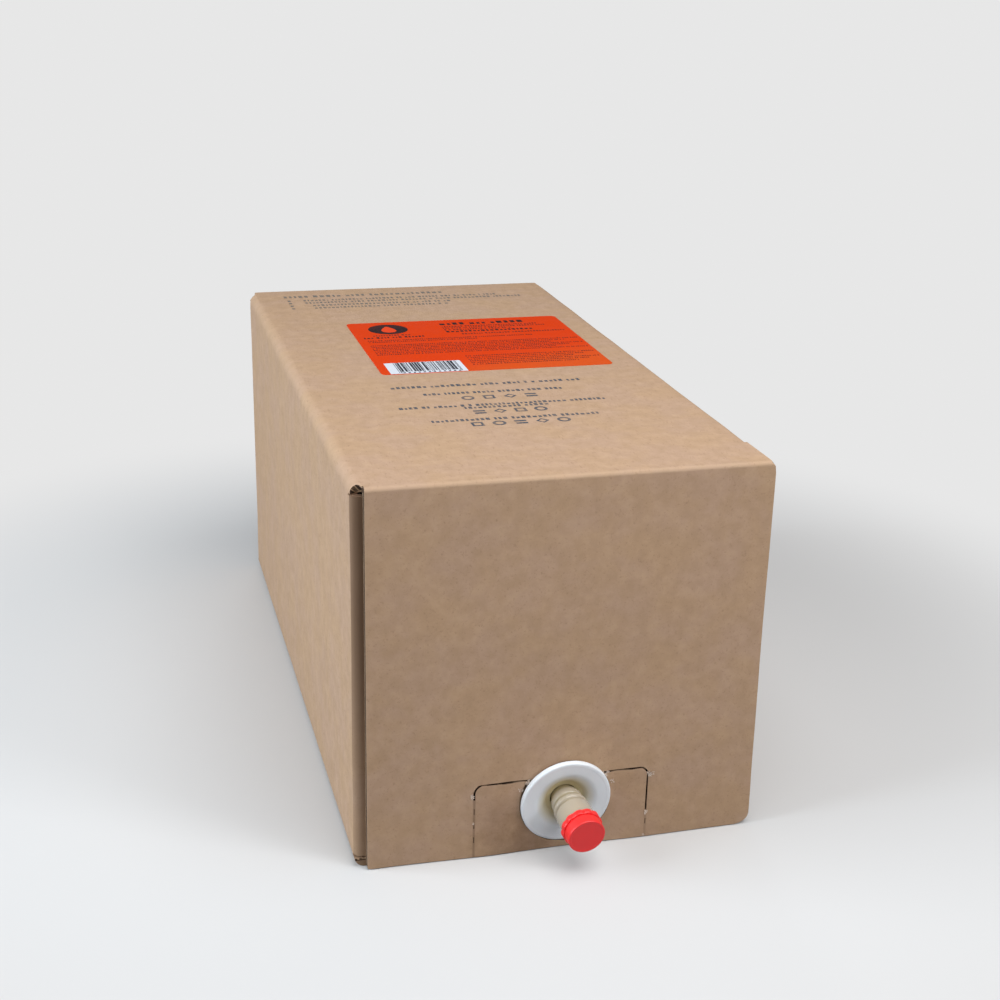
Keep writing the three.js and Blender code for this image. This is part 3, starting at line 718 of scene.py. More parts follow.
@dataclass
class Carton:
    """The folded board: the CAD blank with slack panels, crushed folds and marked cut edges."""

    spacing: float = 9.0
    bulge: float = 1.3
    slack: float = 0.35
    hole_reach: float = 22.35
    wave: float = 0.22
    tab_lean: float = 0.5
    rim_rise: float = 0.6
    flush_gap: float = 0.25

    def build(self) -> None:
        """Makes the carton's piece, cut finer beside the tab's cuts and along its slit."""
        beside = [side + step for side in (TAB_LEFT, TAB_RIGHT) for step in (-0.7, 0.7)]
        along_slit = [*np.arange(-36, -15, 3.0), *np.arange(22, 40, 3.0)]
        mesh = merged_copy("carton", "folded_board", self.spacing,
                           {0: beside + along_slit, 2: [3.0, 176.0, 181.0]})
        rest = positions(mesh)
        move(mesh, self.closed_in(self.bulged(self.crushed(rest)), rest))
        self.mark_edges(mesh)
        smooth(mesh, 28)
        piece = show(mesh, [KraftFinish().material(), CutEdgeFinish().material()], Body.PACK,
                     ("carton",))
        piece.modifiers.new("even_shading", "WEIGHTED_NORMAL").keep_sharp = True

    def crushed(self, points: np.ndarray) -> np.ndarray:
        """Pulls the folds and the side panels inwards by a little.

        A fold is pulled in by up to the slack within 7 mm of the long edges, in ripples 40 mm
        long, and the side panels in ripples 110 mm long.
        """
        short, long = (np.clip(0.5 + 0.5 * ripple.at(points), 0, 1)
                       for ripple in (Ripple(4, 40), Ripple(9, 110)))
        side = HALF_WIDTH - np.abs(points[:, 0])
        level = HEIGHT / 2 - np.abs(points[:, 2] - HEIGHT / 2)
        inward = 0.6 * self.slack * (1 - step_between(1.5, 9, side + level)) * short
        upright = step_between(12, 40, level) * (1 - step_between(3.9, 4.4, side))
        moved = points.copy()
        moved[:, 0] -= np.sign(points[:, 0]) * (inward + self.slack * upright * long)
        moved[:, 2] -= np.sign(points[:, 2] - HEIGHT / 2) * inward * (points[:, 2] > 9)
        return moved

    def bulged(self, points: np.ndarray) -> np.ndarray:
        """Lets the front outer flap stand forward.

        The lower edge comes forward most in its middle, as sin^2 over the width times a step
        down the height; the tab leans out at its top, and the board over the hole stands proud
        where the disc has pressed it. The slit's lips close unevenly, and the flap's right edge
        is drawn out to the side panel, with which it lies flush.
        """
        x, y, z = points.T
        outer = y < OUTER_FLAP_BACK
        across = np.clip((x - FLAP_LEFT) / (FLAP_RIGHT - FLAP_LEFT), 0, 1)
        reach = np.hypot(x - HOLE_X, z - HOLE_Z) - HOLE_R
        free = step_between(0, 26, reach)
        lean = self.bulge * free * np.sin(np.pi * across) ** 2 * (1 - step_between(0, 90, z))
        wave = self.wave * Ripple(12, 70).at(points) * (1 - step_between(150, 178, z))
        edges = np.minimum(x - FLAP_LEFT, FLAP_RIGHT - x)
        wave = np.clip(wave, -0.2, 1) * step_between(0, 20, edges)
        in_tab = (x > TAB_LEFT - 0.4) & (x < TAB_RIGHT + 0.4) & (z < TAB_TOP)
        tab = self.tab_lean * in_tab * step_between(16, TAB_TOP, z)
        rim = self.rim_rise * (1 - step_between(0, 8, reach)) * (z >= TAB_TOP)
        moved = points.copy()
        moved[:, 1] -= np.where(outer, lean + wave * free + tab + rim, 0)
        lip = outer & in_tab & (np.abs(z - TAB_TOP) < 0.7) & (np.abs(x) > 12)
        shut = np.sign(z - TAB_TOP) * (0.15 + 0.13 * Ripple(16, 13).at(points))
        moved[:, 2] += np.where(lip, 0.24 * Ripple(15, 9).at(points) - shut, 0)
        over = np.clip(z - HEIGHT + BOARD, 0, BOARD)
        side = HALF_WIDTH - self.flush_gap - BOARD + np.sqrt(BOARD ** 2 - over ** 2)
        draw = np.maximum(side - FLAP_RIGHT, 0) * np.clip((x - FLAP_RIGHT + 5) / 5, 0, 1)
        moved[:, 0] += np.where(outer, draw, 0)
        return moved

    def closed_in(self, moved: np.ndarray, rest: np.ndarray) -> np.ndarray:
        """Draws the tab's torn round edge up to the disc, as an ellipse round the disc's middle."""
        x, y, z = rest.T
        below = np.abs(np.hypot(x - HOLE_X, z - HOLE_Z - 0.9) - HOLE_R - 0.8) < 0.08
        rim = (y < OUTER_FLAP_BACK) & (z < TAB_TOP + 0.1) & below
        angle = np.arctan2(z - DISC_Z, x - DISC_X)
        ragged = self.hole_reach + 0.12 * Ripple(14, 5).at(rest)
        drawn = moved.copy()
        drawn[rim, 0] = (DISC_X + ragged * np.cos(angle))[rim]
        drawn[rim, 2] = (DISC_Z + 0.992 * ragged * np.sin(angle))[rim]
        return drawn

    def mark_edges(self, mesh: Mesh) -> None:
        """Gives cut faces the edge material and stores where in the board each corner lies.

        A face of a flap is a cut edge where it doesn't look along Y, and a face of the sleeve
        where it looks along Y. The depth is the distance from the outer face of that ply.
        """
        normals = np.abs(read(mesh.polygons, "normal", 3))
        x, y, z = (read(mesh.polygons, "center", 3) / MM).T
        inward = HALF_LENGTH - np.abs(y)
        folded, outer = z > HEIGHT - 3.9, inward < PLY
        side_faces = (normals[:, 1] < 0.35) & (inward < 3 * PLY) & ~folded
        strip = (normals[:, 0] > 0.7) & outer
        skin = (np.abs(x) > HALF_WIDTH - 5.2) & ~outer
        in_slot = folded | (z < 4.2) & (np.abs(x) > 83)
        sleeve = (normals[:, 1] > 0.7) & (inward > PLY - 0.1) & in_slot
        cut = (side_faces & ~skin) | strip | (sleeve & ~outer)
        mesh.polygons.foreach_set("material_index", cut.astype(np.int32))
        totals = read(mesh.polygons, "loop_total", kind=np.int32)
        self.store_depths(mesh, np.repeat(sleeve, totals), np.repeat(normals[:, 2] > 0.7, totals))
        # Stores the painted shade of the slit, the tab's cuts and the gap round the disc.
        store(mesh, "edge_shut", np.repeat(self.shut(x, y, z), totals), "CORNER")

    def shut(self, x: np.ndarray, y: np.ndarray, z: np.ndarray) -> np.ndarray:
        """Painted shade: 1 on faces that line the slit and the tab's cuts, 0.2 in the gap round the
        disc.
        """
        front = y < PLY - HALF_LENGTH
        off_side = np.minimum(np.abs(x - TAB_LEFT), np.abs(x - TAB_RIGHT))
        off_top = np.abs(z - TAB_TOP)
        top = (off_top < 0.9) & (x > TAB_LEFT - 1) & (x < TAB_RIGHT + 1)
        cuts = ((off_side < 0.9) | (off_side < 4.5) & (off_top < 4.5)) & (z < TAB_TOP + 1)
        gap = front & (np.hypot(x - HOLE_X, z - HOLE_Z) < 24.5) & (z < TAB_TOP - 1)
        return np.where(gap, 0.2, (front & (top | cuts)).astype(float))

    def store_depths(self, mesh: Mesh, sleeve: np.ndarray, level: np.ndarray) -> None:
        """Stores the depth, the run and the crossing of the flutes at each face corner.

        Args:
            mesh: the board's mesh.
            sleeve: for each corner, whether its face is a cut edge of the sleeve.
            level: for each corner, whether its face looks up or down.
        """
        vertex = read(mesh.loops, "vertex_index", kind=np.int32)
        x, y, z = positions(mesh)[vertex].T
        off_side, off_level = HALF_WIDTH - np.abs(x), np.minimum(z, HEIGHT - z)
        in_flap = np.mod(HALF_LENGTH + 1e-3 - np.abs(y), PLY)
        depth = np.where(sleeve, np.minimum(off_side, off_level), in_flap)
        along_x = level | (sleeve & (off_level < off_side))
        crossing = (sleeve | level) & (np.hypot(x - HOLE_X, z - HOLE_Z) > 25)
        store(mesh, "edge_depth", depth * MM, "CORNER")
        store(mesh, "edge_run", np.where(along_x, x, z) * MM, "CORNER")
        store(mesh, "edge_across", crossing.astype(float), "CORNER")


@dataclass(frozen=True)
class Tear:
    """A torn place on the front: where it is, how far it spreads and how many fibres it shows."""

    x: float
    z: float
    spread: float
    fibres: int
    length: float


@dataclass
class TornFibres:
    """Pale fibres that stand up where the tab and the hole have been torn."""

    tears: tuple[Tear, ...] = (
        Tear(-15.6, 37.0, 1.3, 22, 1.5), Tear(21.9, 37.0, 1.2, 22, 1.5),
        Tear(-42.5, 33.2, 0.9, 20, 1.2), Tear(44.3, 34.4, 0.9, 20, 1.2),
        Tear(42.9, 14.4, 0.5, 10, 1.5), Tear(-41.8, 18.4, 0.3, 6, 0.9),
        Tear(42.3, 1.6, 0.35, 6, 0.8), Tear(-19.6, 33.4, 0.9, 8, 0.8),
        Tear(25.4, 33.0, 1.0, 9, 0.9))

    def build(self) -> None:
        """Makes one piece from all the fibres.

        A fibre is a ribbon of six stations. At share t of its length L it lies at its root plus
        t L along its direction, and curls forward by t^2 times a third of L; its width shrinks as
        1 - t^2.
        """
        rng = np.random.default_rng(51)
        rows = [np.repeat([[tear.x, tear.z, tear.spread, tear.length]], tear.fibres, 0)
                for tear in self.tears]
        x, z, spread, length = np.vstack(rows).T[:, :, None, None]
        count = len(x)

        def each(values: np.ndarray) -> np.ndarray:
            """Lays one number for each fibre out for its stations and sides."""
            return values[:, None, None]

        root_x = x + spread * each(rng.normal(0, 0.6, count))
        root_z = z + spread * each(rng.normal(0, 0.6, count))
        angle = each(rng.uniform(0, 2 * np.pi, count))
        size = length * each(rng.uniform(0.4, 1.0, count))
        share = np.linspace(0, 1, 6)[None, :, None]
        side = np.array([-1.0, 1.0])[None, None, :]
        width = side * each(rng.uniform(0.16, 0.42, count)) * (1 - share ** 2 * 0.9)
        turn = angle + share * each(rng.uniform(-1.2, 1.2, count))
        along_x = root_x + share * size * np.cos(turn) - width * np.sin(turn)
        along_z = root_z + share * size * np.sin(turn) + width * np.cos(turn)
        forward = -HALF_LENGTH - 0.75 - 0.33 * size * share ** 2
        points = np.stack(np.broadcast_arrays(along_x, forward, along_z), axis=3)
        faces = grid_faces(6, 2, False)[None] + 12 * np.arange(count)[:, None, None]
        s = Shading("torn_fibre")
        tone = s.mix(s.noise(s.place, 400, 2), linear(196, 172, 150), linear(222, 208, 196))
        show(made("torn_fibres", points * MM, faces.reshape(-1, 4)),
             [s.finish(Base_Color=tone, Roughness=0.95)], Body.PACK)


# Print


class Marks:
    """Flat printed marks on the top of the pack, gathered as quads of one ink."""

    def __init__(self, name: str, level: float, seed: int) -> None:
        """Starts an empty sheet of marks.

        Args:
            name: the piece's name.
            level: the height of the printed surface in millimetres.
            seed: the seed for the random widths.
        """
        self.name = name
        self.level = level
        self.rng = np.random.default_rng(seed)
        self.quads: list[np.ndarray] = []

    def boxes(self, *sides: object) -> None:
        """Adds upright rectangles, whose sides are given as left, low, right and high."""
        x0, y0, x1, y1 = np.broadcast_arrays(*(np.atleast_1d(side) for side in sides))
        corners = [np.stack(corner, -1) for corner in ((x0, y0), (x1, y0), (x1, y1), (x0, y1))]
        self.quads.append(np.stack(corners, axis=1).astype(float))

    def row(self, x0: float, x1: float, widths: np.ndarray, gaps: np.ndarray) -> list[np.ndarray]:
        """Returns the left and the right sides of widths laid out with their gaps."""
        places = np.cumsum(np.concatenate([[0], (widths + gaps)[:-1]]))
        scale = (x1 - x0) / (places[-1] + widths[-1])
        return [x0 + places * scale, x0 + (places + widths) * scale]

    def line(self, x0: float, x1: float, y: float, height: float, bold: float = 0.24) -> None:
        """Adds a line of blocks that stands for a line of print.

        Small solid blocks of random width follow each other from x0 to x1, with a wider gap
        after every few, and some of them are lower than the others.

        Args:
            x0: the line's left end.
            x1: its right end.
            y: its lower side.
            height: the height of its marks.
            bold: the blocks' least width as a share of the height.
        """
        count = max(2, int((x1 - x0) / ((bold + 0.46) * height)))
        widths = bold + self.rng.uniform(0.0, 0.26, count)
        gaps = np.where(self.rng.random(count) < 0.14, 0.62, 0.26)
        tall = np.where(self.rng.random(count) < 0.65, 1.0, 0.72) * height
        left, right = self.row(x0, x1, widths, gaps)
        self.boxes(left, y, right, y + tall)

    def spaced(self, x0: float, x1: float, y: float, height: float, shapes: str) -> None:
        """Adds a row of large shapes, spaced evenly from x0 to x1.

        Args:
            x0: the row's left end.
            x1: its right end.
            y: its lower side.
            height: the height of the shapes.
            shapes: one sign for each shape: o a ring, s an open square, d a diamond, b two bars.
        """
        width = 0.95 * height
        low = y + height * np.array([0.0, 0.6])
        kinds = {"o": (24, 0.0, 1.15), "s": (4, math.pi / 4, math.sqrt(2)), "d": (4, 0.0, 1.15)}
        for centre, shape in zip(np.linspace(x0 + width / 2, x1 - width / 2, len(shapes)), shapes):
            if shape == "b":
                self.boxes(centre - width / 2, low, centre + width / 2, low + 0.36 * height)
                continue
            sides, first, grow = kinds[shape]
            angle = first + np.linspace(0, 2 * np.pi, sides + 1)
            reach = np.array([width, height]) / 2 * grow
            self.ring((centre, y + height / 2), reach * unit_circle(angle), 0.58)

    def ring(self, centre: tuple[float, float], outer: np.ndarray, hollow: float) -> None:
        """Adds the band from a closed outline to the same outline shrunk to a share, the hollow."""
        inner, outer = (np.array(centre) + share * outer for share in (hollow, 1.0))
        self.quads.append(np.stack([outer[:-1], outer[1:], inner[1:], inner[:-1]], axis=1))

    def build(self, finish: InkFinish, lift: float) -> None:
        """Makes the piece: all the quads, a little over the printed surface."""
        flat = np.concatenate(self.quads).reshape(-1, 2)
        level = np.full((len(flat), 1), self.level + lift)
        mesh = made(self.name, np.hstack([flat, level]) * MM, np.arange(len(flat)).reshape(-1, 4))
        show(mesh, [finish.material()], Body.PACK)


def unit_circle(angle: np.ndarray) -> np.ndarray:
    """The points of the unit circle at the angles."""
    return np.stack([np.cos(angle), np.sin(angle)], 1)


@dataclass
class CartonPrint:
    """The print on the top panel: handling lines before the label and a note behind it."""

    lift: float = 0.05
    board: tuple = linear(185, 153, 123)
    handling: tuple = (
        (-51, 50, -46.9, 4.0, 0.27), (-37, 36, -61.2, 3.5, 0.27), (-19, 20, -72.2, 6.2, "osdb"),
        (-54, 52, -83.8, 3.5, 0.27), (-22, 21, -88.0, 3.3, 0.27), (-19, 18, -97.2, 6.2, "bdso"),
        (-43, 41, -108.0, 3.5, 0.27), (-25, 24, -117.0, 6.2, "sobdo"))

    def build(self) -> None:
        """Makes the two prints."""
        front = Marks("handling_print", HEIGHT, 21)
        for *place, kind in self.handling:
            (front.spaced if isinstance(kind, str) else front.line)(*place, kind)
        front.build(InkFinish("blue_grey_ink", linear(68, 77, 88), self.board, 0.5), self.lift)
        back = Marks("disposal_print", HEIGHT, 22)
        back.line(-77, 25, 172.5, 5.2, 0.22)
        for x0, x1, y in ((-66, 58, 162), (-66, 73, 155.5), (-62, 25, 148), (-62, 22, 141)):
            back.line(x0, x1, y, 3.8, 0.2)
            back.boxes(-76.0, y, -74.2, y + 3.6)
        back.build(InkFinish("grey_ink", linear(112, 107, 102), self.board, 0.55), self.lift)


@dataclass
class Label:
    """The orange label with its round mark, bars and fine lines, all as plain shapes."""

    level: float = LABEL_TOP - 0.08
    lift: float = 0.03
    orange: tuple = linear(206, 62, 20)
    white: tuple = linear(214, 220, 230)
    bold: tuple = ((4, 55, 84.5, 5.4, 0.3), (4, 56, 66.5, 3.4, 0.28), (-46, -11, 58.8, 3.0, 0.26))
    fine: tuple = (
        (4, 62, 79.2, 2.3), (4, 66, 75.4, 2.3), (4, 44, 71.4, 2.6), (-40, -18, 64.0, 2.4),
        (12, 74, 60.4, 2.4), (-45, 52, 52.6, 1.9), (-45, 18, 49.2, 1.9))

    def build(self) -> None:
        """Makes the label's paper and its prints."""
        paper = merged_copy("label", "orange_label", 12)
        points = positions(paper)
        points[:, 2] = np.minimum(points[:, 2], self.level)
        move(paper, points)
        smooth(paper, 30)
        show(paper, [LabelFinish().material()], Body.PACK, ("label",))
        turn = np.linspace(0, 2 * np.pi, 57)
        bold = Marks("label_bold_print", self.level, 31)
        bold.ring((-28.4, 79.5), 11.6 * unit_circle(turn), 0.0)
        for place in self.bold:
            bold.line(*place)
        bold.build(InkFinish("label_black", linear(26, 22, 26), self.orange, 0.12), self.lift)
        fine = Marks("label_fine_print", self.level, 32)
        for place in self.fine:
            fine.line(*place)
        for left, right, step, levels in ((-45.5, 76, 9, np.linspace(41.5, 21.0, 7)),
                                          (2, 76, 7, np.linspace(10.5, -7.5, 6))):
            for row, y in enumerate(levels):
                fine.line(left, right - step * (row % 3), float(y), 1.9)
        fine.build(InkFinish("label_dark", linear(96, 32, 22), self.orange, 0.3), self.lift)
        self.drop()
        self.bars()

    def drop(self) -> None:
        """A plain drop on the round mark: 5.6 sin(t) sin(t / 2) wide and 7.4 cos(t) high."""
        turn = np.linspace(0, 2 * np.pi, 49)
        outline = np.stack([5.6 * np.sin(turn) * np.abs(np.sin(turn / 2)), 7.4 * np.cos(turn)], 1)
        drop = Marks("label_mark_drop", self.level, 33)
        drop.ring((-28.4, 79.0), outline, 0.02)
        drop.build(InkFinish("label_drop", linear(224, 66, 18), self.orange, 0.2), 2 * self.lift)

    def bars(self) -> None:
        """The white field and its dark bars of random width."""
        field = Marks("code_field", self.level, 34)
        field.boxes(-45.6, -18.6, -3.4, 3.6)
        field.build(InkFinish("code_white", self.white, linear(232, 234, 238), 0.3, 0.5),
                    self.lift)
        code = Marks("code_bars", self.level, 35)
        widths = code.rng.choice([0.33, 0.66, 0.99, 1.32], 30, p=[0.4, 0.3, 0.18, 0.12])
        gaps = code.rng.choice([0.33, 0.66, 0.99], 30, p=[0.5, 0.32, 0.18])
        left, right = code.row(-40.6, -6.1, widths, gaps)
        low = np.where(np.isin(np.arange(30), (0, 1, 14, 15, 28, 29)), -16.9, -14.9)
        code.boxes(left, low, right, 3.2)
        code.boxes(np.linspace(-38.6, -8.4, 12), -17.9, np.linspace(-37.4, -7.2, 12), -16.2)
        code.build(InkFinish("code_black", linear(34, 34, 44), self.white, 0.15), 2 * self.lift)


# Spout


@dataclass
class SpoutGland:
    """The moulded spout: weld flange, neck and dished collar."""

    bore: float = 6.65

    def build(self) -> None:
        """Makes the gland's piece, with a faint witness ring on the collar."""
        corners = [
            (self.bore, -9.2), (self.bore, -9.5, 0.2), (13, -9.5, 1), (13, -16.4),
            (22.5, -16.4, 0.4), (22.5, -15, 0.4), (15, -15, 1), (15, -3.2, 0.8), (22, -3.2, 1.2),
            (22, 0, 1.25), (20.3, -0.02, 0.5), (19.9, -0.14, 0.5), (15.2, -0.5, 4),
            (11.2, -2.6, 3), (9.2, -4.4, 1.5), (self.bore, -4.9, 0.3), (self.bore, -9.2)]
        # Its inner colour paints shade deeper in the dish, over the plastic's warmer tone.
        white = PlasticFinish(
            "milky_plastic", linear(243, 249, 255), 0.34, 0.12, (0.006, 0.005, 0.0042),
            mottle=0.06, inner=linear(226, 210, 164))
        mesh = Turned("spout_disc", SPOUT, corners, 160, sway=0.06, shade_from=14.5,
                      shade_to=8.6).mesh()
        show(mesh, [white.material()], Body.PACK, ("spout_gland",))


@dataclass
class Valve:
    """The ribbed stem with its retainer, spring, poppet and seal."""

    coil: float = 3.4
    wire: float = 0.45
    turns: int = 7
    play: float = 0.3

    def build(self) -> None:
        """Makes the valve's pieces in order."""
        # Its inner colour paints shade in the stem's grooves, neck and bore.
        ivory = PlasticFinish("ivory_plastic", linear(182, 169, 149), 0.2, 0.12,
                              (0.002, 0.0016, 0.001), 0.000002, 0.8, 0.05,
                              linear(172, 158, 124)).material()
        self.stem(ivory)
        self.retainer(ivory)
        self.poppet()
        self.seal()
        self.spring()

    def stem(self, ivory: Material) -> None:
        """The stem, with two rings, a barrel and the nozzle, open from its tail to its outlet."""
        corners = [
            (5.2, -7.7), (5.2, TAIL_END), (7.4, TAIL_END, 0.4), (7.4, -4.7), (11, -4.7, 0.4),
            (11, -2.9, 0.4), (6.2, -2.9), (6.2, 3.9, 0.4), (7.1, 4.6, 0.6), (7.6, 6.6, 1),
            (7.5, 8.7, 1.2), (6.3, 9.5, 0.4), (6.4, 10.1, 0.4), (7.9, 10.8, 0.8), (8.3, 11.7, 1),
            (8.3, 13.1, 1.2), (7.0, 13.9, 0.4), (7.1, 14.5, 0.4), (8.3, 15.1, 0.8),
            (8.5, 15.8, 2), (8.5, VALVE_SHOULDER, 0.5), (7, VALVE_SHOULDER),
            (7, NOZZLE_END, 0.8), (3.4, NOZZLE_END, 0.4), (3.4, SEAT), (5.2, SEAT), (5.2, -5.7),
            (5.8, -5.7), (5.8, -7.7), (5.2, -7.7)]
        mesh = Turned("valve_stem", VALVE, corners, 112, shade_from=7.6, shade_to=6.4).mesh()
        show(mesh, [ivory], Body.PACK, ("valve_body",))

    def retainer(self, ivory: Material) -> None:
        """The drilled plate that holds the spring."""
        mesh = merged_copy("spring_retainer", "retainer_plate", 20)
        smooth(mesh, 30)
        piece = show(mesh, [ivory], Body.PACK, ("spring_retainer",))
        bevel = piece.modifiers.new("soft_edges", "BEVEL")
        bevel.width, bevel.segments, bevel.limit_method = 0.00012, 2, "ANGLE"

    def poppet(self) -> None:
        """The poppet with its rod, head and pin."""
        tip = NOZZLE_END - 1
        corners = [(0, -8.2), (1.7, -8.2, 0.4), (1.7, POPPET_BACK, 0.3), (4.6, POPPET_BACK, 0.3),
                   (4.6, POPPET_FACE, 0.3), (2.6, POPPET_FACE), (2.6, tip, 0.5), (0, tip)]
        finish = PlasticFinish("poppet_plastic", linear(222, 218, 206), 0.4)
        show(Turned("poppet", VALVE, corners, 64).mesh(), [finish.material()], Body.POPPET,
             ("valve_poppet",))

    def seal(self) -> None:
        """The rubber ring on the poppet's head: a circle of 0.8 mm turned at 3.7 mm."""
        circle = 0.79 * unit_circle(np.linspace(0, 2 * np.pi, 25)) + (3.7, POPPET_FACE + 1.1)
        finish = PlasticFinish("black_rubber", linear(34, 34, 36), 0.7)
        show(Turned("seal_ring", VALVE, circle.tolist(), 72).mesh(), [finish.material()],
             Body.POPPET, ("poppet_seal",))

    def spring(self) -> None:
        """The spring: a round wire carried along a helix."""
        first, last = RETAINER_FRONT + self.play, POPPET_BACK - self.play
        low, high = first + self.wire, last - self.wire
        share = np.linspace(0, 1, self.turns * 40 + 1)[:, None]
        around = 2 * np.pi * self.turns * share
        side = np.linspace(0, 2 * np.pi, 12, endpoint=False)[None, :]
        out = self.coil + self.wire * np.cos(side)
        level = low + (high - low) * share + self.wire * np.sin(side)
        points = np.stack([out * np.cos(around), level, out * np.sin(around)], axis=2)
        mesh = bpy.data.meshes.new("spring_wire")
        faces = grid_faces(len(share), 12, True).tolist()
        end = (len(share) - 1) * 12
        faces += [list(range(12)), list(range(end + 11, end - 1, -1))]
        mesh.from_pydata(VALVE.placed(points.reshape(-1, 3)), [], faces)
        smooth(mesh, 50)
        piece = show(mesh, [SteelFinish().material()], Body.PACK, ("valve_spring",))
        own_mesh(piece)


@dataclass
class DustCap:
    """The red cap: a lobed grip ring behind a smooth round front."""

    front: float = 1.55
    recess: float = 0.12
    lobes: int = 12
    lobe_depth: float = 0.55

    def build(self) -> None:
        """Makes the cap's piece."""
        back = VALVE_SHOULDER + 0.3
        ring_end, groove_end = back + 3.0, back + 3.5
        ceiling = NOZZLE_END + 0.3
        face = ceiling + self.front
        inset = face - self.recess
        corners = [
            (0, ceiling), (7.3, ceiling, 0.3), (7.3, back, 0.2), (9.8, back, 0.55),
            (9.8, ring_end, 0.55), (8.5, ring_end, 0.1), (8.5, groove_end, 0.1),
            (8.9, groove_end, 0.2), (8.9, face, 0.65), (7.9, face, 0.3), (7.6, inset, 0.3),
            (0, inset)]
        mesh = Turned("dust_cap_shell", VALVE, corners, 192, 0.6, self.lobes, self.lobe_depth,
                      (back - 0.1, ring_end + 0.05)).mesh()
        red = PlasticFinish("red_plastic", linear(255, 46, 48), 0.34, relief=0.00002, level=0.8)
        show(mesh, [red.material()], Body.CAP, ("dust_cap",))


# Bag


@dataclass
class FilledBag:
    """The film bag inside the carton, wrinkled where the filling leaves it slack."""

    depth: float = 1.6

    def build(self) -> None:
        """Makes the bag's piece, pulled inwards by ridged wrinkles."""
        mesh = merged_copy("filled_bag", "wrinkled_bag", 5)
        points = positions(mesh)
        wrinkle = np.abs(Ripple(41, 34).at(points)) * 0.6 + np.abs(Ripple(42, 13).at(points)) * 0.3
        from_spout = np.linalg.norm(points - np.array(SPOUT_ORIGIN), axis=1)
        inward = self.depth * np.clip(wrinkle, 0, 1) * step_between(48, 75, from_spout)
        towards = points.mean(axis=0) - points
        towards /= np.linalg.norm(towards, axis=1, keepdims=True)
        move(mesh, points + towards * inward[:, None])
        smooth(mesh, 40)
        film = PlasticFinish("clear_film", linear(214, 206, 186), 0.3, 0.1, relief=0.0002)
        show(mesh, [film.material()], Body.PACK, ("filled_bag",))


# Studio


@dataclass(frozen=True)
class Camera:
    """The photograph's view of the pack: a place, a turn and a lens on a 36 mm sensor."""

    place: tuple = (-0.20238, -0.82810, 0.41159)
    right: tuple = (0.967295, -0.252872, 0.019893)
    up: tuple = (0.067079, 0.330648, 0.941367)
    back: tuple = (-0.244623, -0.909246, 0.336796)
    lens: float = 57.934

    def build(self) -> None:
        """Makes the camera and hands it to the scene."""
        data = bpy.data.cameras.new("photo_view")
        data.lens, data.sensor_width, data.sensor_fit = self.lens, 36, "HORIZONTAL"
        data.dof.use_dof = False
        data.clip_start, data.clip_end = 0.01, 50
        camera = added("photo_view", data)
        turn = Matrix((self.right, self.up, self.back)).transposed().to_4x4()
        camera.matrix_world = Matrix.Translation(self.place) @ turn
        bpy.context.scene.camera = camera


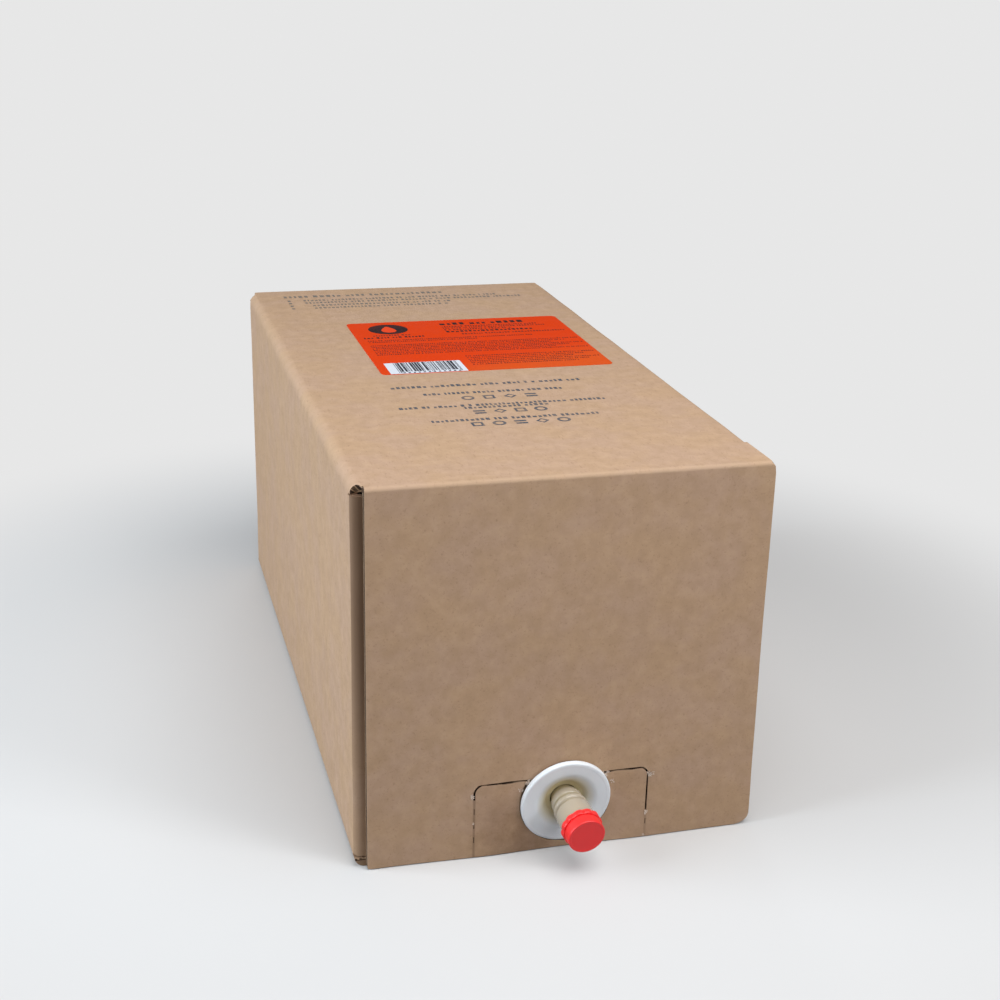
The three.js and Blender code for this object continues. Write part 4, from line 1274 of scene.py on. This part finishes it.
@dataclass
class Studio:
    """A pale floor and soft lights."""

    shade: float = 0.66
    bounce: float = 0.3
    backdrop: float = 0.8
    fill: float = 0.25
    reach: float = 6.0
    lights: tuple = (
        ("top_softbox", (0.1, -0.5, 1.05), (0.0, -0.15, 0.15), 0.8, 7.5, WHITE[:3]),
        ("left_softbox", (-1.6, -0.1, 0.7), (0.0, 0.0, 0.09), 1.1, 30, (0.83, 0.92, 1.0)),
        ("right_softbox", (0.8, -0.9, 0.8), (0.0, -0.2, 0.06), 0.4, 5.4, (0.97, 0.98, 1.0)),
        ("back_softbox", (0.3, 1.7, 0.3), (0.0, 0.1, 0.09), 0.5, 7.0, WHITE[:3]))

    def build(self) -> None:
        """Makes the floor, the world and the lights."""
        self.floor()
        self.world()
        for light in self.lights:
            self.light(*light)

    def floor(self) -> None:
        """A wide floor just under the carton."""
        corners = self.reach * np.array([(-1, -1, 0), (1, -1, 0), (1, 1, 0), (-1, 1, 0)])
        mesh = made("studio_floor", corners, np.arange(4)[None, :])
        mesh.materials.append(self.floor_material())
        added("studio_floor", mesh)

    def floor_material(self) -> Material:
        """A pale matt floor that holds its level far from the pack, for the camera only.

        To light that bounces it is a mid grey, so that the pack's foot stays in half shade.
        """
        s = Shading("studio_floor")
        seen = s.add("LightPath").outputs["Is Camera Ray"]
        grey = s.mix(seen, (self.bounce,) * 3 + (1.0,), (self.shade,) * 3 + (1.0,))
        matt = s.add("BsdfDiffuse", {"Color": grey})
        plain = s.add("Emission", {"Color": WHITE, "Strength": self.backdrop})
        distance = s.add("VectorMath", {0: s.place}, operation="LENGTH")
        far = s.between(distance.outputs["Value"], 0.25, 0.5)
        mixed = s.add("MixShader", {0: s.times(far, seen), 1: matt.outputs[0],
                                    2: plain.outputs[0]})
        s.add("OutputMaterial", {0: mixed.outputs[0]})
        return s.material

    def world(self) -> None:
        """A plain grey surround that has the floor's level to the camera."""
        s = Shading("studio", bpy.data.worlds.new)
        seen = s.add("LightPath").outputs["Is Camera Ray"]
        level = s.add("MapRange", {"Value": seen, "To Min": self.fill, "To Max": self.backdrop})
        back = s.add("Background", {"Color": WHITE, "Strength": level.outputs[0]})
        s.add("OutputWorld", {0: back.outputs[0]})
        bpy.context.scene.world = s.material

    def light(self, name: str, place: tuple, target: tuple, size: float, power: float,
              colour: tuple) -> None:
        """Makes one square area light that looks at a point; one at the back gives no glare.

        Args:
            name: the light's name.
            place: where it hangs.
            target: the point that it looks at.
            size: its side.
            power: its power in watts.
            colour: its colour.
        """
        data = bpy.data.lights.new(name, "AREA")
        data.shape, data.size, data.energy, data.color = "SQUARE", size, power, colour
        lamp = added(name, data)
        lamp.location = place
        lamp.visible_camera = False
        lamp.visible_glossy = place[1] < 0
        lamp.rotation_mode = "QUATERNION"
        lamp.rotation_quaternion = (Vector(place) - Vector(target)).to_track_quat("Z", "Y")


def main() -> None:
    """Builds the pack and the studio in order."""
    logging.basicConfig(level=logging.INFO, format="%(name)s: %(message)s")
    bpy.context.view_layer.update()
    bpy.context.scene.view_settings.view_transform = "Standard"
    for part in (Carton, TornFibres, CartonPrint, Label, FilledBag, SpoutGland, Valve, DustCap,
                 Studio, Camera):
        part().build()


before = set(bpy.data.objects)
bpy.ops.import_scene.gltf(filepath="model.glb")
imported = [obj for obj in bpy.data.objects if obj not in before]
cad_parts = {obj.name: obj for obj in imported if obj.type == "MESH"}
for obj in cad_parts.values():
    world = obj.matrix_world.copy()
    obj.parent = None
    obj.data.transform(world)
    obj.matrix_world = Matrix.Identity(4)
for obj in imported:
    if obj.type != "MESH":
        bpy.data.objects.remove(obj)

if __name__ == "__main__":
    main()
